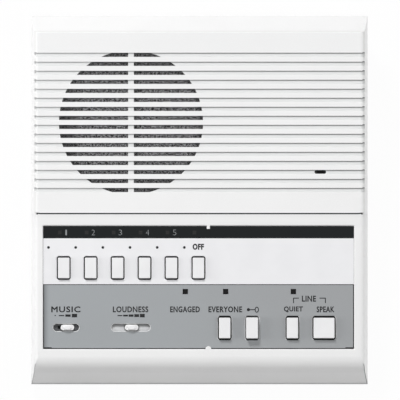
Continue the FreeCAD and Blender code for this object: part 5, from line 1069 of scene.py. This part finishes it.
def rowSizes(count, pitch, length, first, last, thick=printing["thick"]):
    return dict(zip(rowInputs, (count, pitch, length, first, last, thick)))


rows = {
    # name: ink, square or round, where the first mark is, its plate, and the row's sizes
    "musicBars": (darkInk, True, (-86.0, -71.97), plateLevel, rowSizes(3, 4.05, 3.3, 0.7, 2.2)),
    "musicDot": (darkInk, False, (-89.9, -71.97), plateLevel, rowSizes(1, 1.0, 0.8, 0.8, 0.8)),
    "voiceBars": (darkInk, True, (-49.6, -71.97), plateLevel, rowSizes(5, 3.49, 3.0, 0.65, 2.2)),
    "lampWindows": (windowTint, True, (-87.1, -20.2), plateLevel, rowSizes(6, 16.79, 2.3, 2.3, 2.3, 0.012)),
    "stationDots": (darkInk, False, (-94.1, -29.5), panel["stationFace"], rowSizes(6, 16.93, 1.72, 1.72, 1.72)),
}
for name, row in rows.items():
    growRow(name, *row)

numbering = {"count": 5, "right": -83.1, "pitch": 16.9, "wide": 2.1, "oneWide": 0.44, "foot": -21.85,
             "high": 3.4, "bold": -0.11}
offSign = {"left": -4.3, "right": 2.75, "foot": -31.0, "high": 3.8, "bold": 0.22}
numerals = []
for number in range(numbering["count"]):
    middle = numbering["right"] + numbering["pitch"] * number
    half = numbering["wide"] / 2 * (numbering["oneWide"] if number == 0 else 1.0)
    numerals.append(lettering(str(number + 1), middle - half, middle + half, numbering["foot"],
                              numbering["high"], plateLevel, numbering["bold"]))
wordsPiece("stationNumerals", numerals, paleInk)
wordsPiece("offWord", [lettering("OFF", offSign["left"], offSign["right"], offSign["foot"], offSign["high"],
                                 panel["stationFace"], offSign["bold"])], darkInk)
print("marks ready")


# springs and speaker rings, cut into pieces of their own

softParts = {
    "springRows": {
        "station_key_springs": ["station_key_1", "station_key_2", "station_key_3", "station_key_4",
                                "station_key_5", "off_key"],
        "function_key_springs": ["all_call_key", "lock_key", "private_key", "talk_key"],
    },
    "springReach": 5.0,                # either side of a key's middle
    # ring: how far from the speaker's axis it is held, and where it moves with the cone
    "rings": {"speaker_surround": (38.9, 34.4), "speaker_spider": (18.4, 9.7)},
    "sectors": 8,
}
travels = {joint["name"]: joint["range_m"][1] for joint in frame["joints"]}


def ownCopy(node):                     # the CAD part's mesh with its doubles merged
    build = bmesh.new()
    build.from_mesh(nodes[node].data)
    bmesh.ops.remove_doubles(build, verts=build.verts, dist=doubles)
    return build


def dressed(build, name, node, slot):
    for face in build.faces:
        face.material_index = 0
    piece = linked(name, meshOf(name, build, finishes[slot]))
    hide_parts(node)
    return piece


def springPiece(node, name, joint, along, middle):
    # one spring of a row, as its own piece on the housing; along points from its held end
    build = ownCopy(node)
    if middle is not None:
        reach = softParts["springReach"] * milli
        far = [vertex for vertex in build.verts if abs(vertex.co.x - middle) > reach]
        bmesh.ops.delete(build, geom=far, context="VERTS")
    spots = [(vertex.co - lidOrigin).dot(along) for vertex in build.verts]
    length = max(spots) - min(spots)
    piece = dressed(build, name, node, "spring_steel")
    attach(piece, "housing")
    (length - travels[joint]) / length
    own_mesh(piece)


for node, keys in softParts["springRows"].items():
    for key in keys:
        low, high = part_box(key)
        springPiece(node, key + "_spring", key + "_press", outLid, (low.x + high.x) / 2)
springPiece("latch_spring", "latchSpring", "latch_bar_slide", -across, None)


def ringSector(node, name, turn):
    # one sector of a ring round the speaker's axis, cut between two planes through the axis
    build = ownCopy(node)
    middle = onLid(*speakerAxis, 0.0)
    half = math.pi / softParts["sectors"]
    for side in (-1, 1):
        angle = turn + side * half
        normal = (upLid * math.cos(angle) - across * math.sin(angle)) * side
        whole = [*build.verts, *build.edges, *build.faces]
        cut = bmesh.ops.bisect_plane(build, geom=whole, plane_co=middle, plane_no=normal, clear_outer=True)
        opened = [item for item in cut["geom_cut"] if isinstance(item, bmesh.types.BMEdge)]
        bmesh.ops.holes_fill(build, edges=opened)
    bmesh.ops.triangulate(build, faces=build.faces)
    held, moved = softParts["rings"][node]
    radial = (across * math.cos(turn) + upLid * math.sin(turn)) * milli
    piece = dressed(build, name, node, "treated_cloth")
    tuple(middle + radial * held * math.cos(half))
    tuple(middle + radial * moved)
    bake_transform(piece)


for node in softParts["rings"]:
    for sector in range(softParts["sectors"]):
        ringSector(node, f"{node}_{sector + 1}", 2 * math.pi * sector / softParts["sectors"])
print("springs and speaker rings ready")


# the woven cloth behind the grille

weave = {
    "radius": 47.25, "top": 25.42, "thick": 0.38, "rings": 40, "spokes": 120,
    "slack": 0.10, "tightFrom": 44.0, "tightPower": 4, "rippleRight": (0.23, 1.3), "rippleUp": (0.31, 0.4),
    "pitch": 0.72, "wobble": (0.35, 2.0), "wobbleShare": 1.4, "slubStretch": 0.7, "slubs": (1.1, 2.0),
    "warpShare": 0.4, "weftShare": 0.4, "checkShare": 0.3, "slubShare": 3.0,
    "holeFrom": (0.0, 1.15), "hole": (0.018, 0.018, 0.019), "thread": (0.45, 0.452, 0.458),
    "level": 0.25, "rough": 0.78, "swing": 0.2, "depth": 0.00012, "strength": 0.7,
    # painted shade of the grille on the cloth, from the middle: the left side, beside the upright rib, towards the
    # ends, at the rim and under each louvre
    "leftShade": (-26.0, -41.0), "leftUp": (70.0, 35.0), "leftGrowth": (0.22, 0.56),
    "ribFar": (7.0, 2.0), "ribNear": (0.0, 0.5), "ribShare": 0.5,
    "endsUp": (18.0, 41.0), "endsShare": 0.46, "rimFrom": (41.0, 44.5), "rimShare": 0.65,
    "louvreShade": (0.9, 0.2), "louvreShare": 0.5,
}


def wovenCloth():
    finish = Finish("grilleWeave", weave)
    where, right, up, out = finish.lidAxes()
    turn = 2 * math.pi / weave["pitch"]
    wobble = finish.noise(where, "wobble") * weave["wobbleShare"]
    warp = (right * turn + wobble).wave()
    weft = (up * turn + wobble).wave()
    check = (right * (turn / 2)).wave() * (up * (turn / 2)).wave()
    slubs, slubsUp = [
        finish.noise(finish.stretched(where, stretch), "slubs")
        for stretch in ((weave["slubStretch"], 1.0, 1.0), (1.0, weave["slubStretch"], 1.0))]
    height = finish.total(warpShare=abs(warp), weftShare=abs(weft), checkShare=check,
                          slubShare=slubs + slubsUp - 1.0)
    beside = right - speakerAxis[0]
    leftShade = finish.ease(beside, "leftShade") * finish.ramp(up, "leftUp", "leftGrowth")
    ribShade = finish.within(ribFar=beside, ribNear=beside) * weave["ribShare"]
    endShade = finish.ease(abs(up - speakerAxis[1]), "endsUp") * weave["endsShare"]
    rim = finish.ease(fromAxis(right, up), "rimFrom") * weave["rimShare"]
    # the darkest thread tint doubles as painted shade of the grille
    base = finish.coats(
        finish.fade(height, "holeFrom", "hole", "thread"),
        (leftShade.most(ribShade).most(rim).most(endShade), "hole"),
        (finish.ease(louvreStep(up), "louvreShade"), "louvreShare", "hole"))
    return finish.grained(base, slubs, height)


def makeCloth():
    build = bmesh.new()
    spokes = weave["spokes"]
    middle = build.verts.new(onLid(*speakerAxis, weave["top"]))
    rings = []
    for ring in range(1, weave["rings"] + 1):
        radius = weave["radius"] * ring / weave["rings"]
        # a little slack between the grille's ribs, none under the gasket
        free = max(0.0, 1.0 - (radius / weave["tightFrom"]) ** weave["tightPower"])
        row = []
        for spoke in range(spokes):
            angle = 2 * math.pi * spoke / spokes
            x, y = speakerAxis[0] + radius * math.cos(angle), speakerAxis[1] + radius * math.sin(angle)
            ripple = math.prod(math.sin(place * rate + start) for place, (rate, start) in (
                (x, weave["rippleRight"]), (y, weave["rippleUp"])))
            sag = weave["slack"] * free * (0.5 + 0.5 * ripple)
            row.append(build.verts.new(onLid(x, y, weave["top"] - sag)))
        rings.append(row)
    for spoke in range(spokes):
        after = (spoke + 1) % spokes
        build.faces.new((middle, rings[0][spoke], rings[0][after]))
        for inner, outer in zip(rings, rings[1:]):
            build.faces.new((inner[spoke], outer[spoke], outer[after], inner[after]))
    mesh = meshOf("grilleCloth", build, wovenCloth())
    for face in mesh.polygons:
        face.use_smooth = True
    cloth = linked("grilleCloth", mesh)
    thick = cloth.modifiers.new("thickness", "SOLIDIFY")
    thick.thickness = weave["thick"] * milli
    thick.offset = -1.0
    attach(cloth, "housing")
    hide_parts("speaker_cloth")


makeCloth()
print("cloth ready")
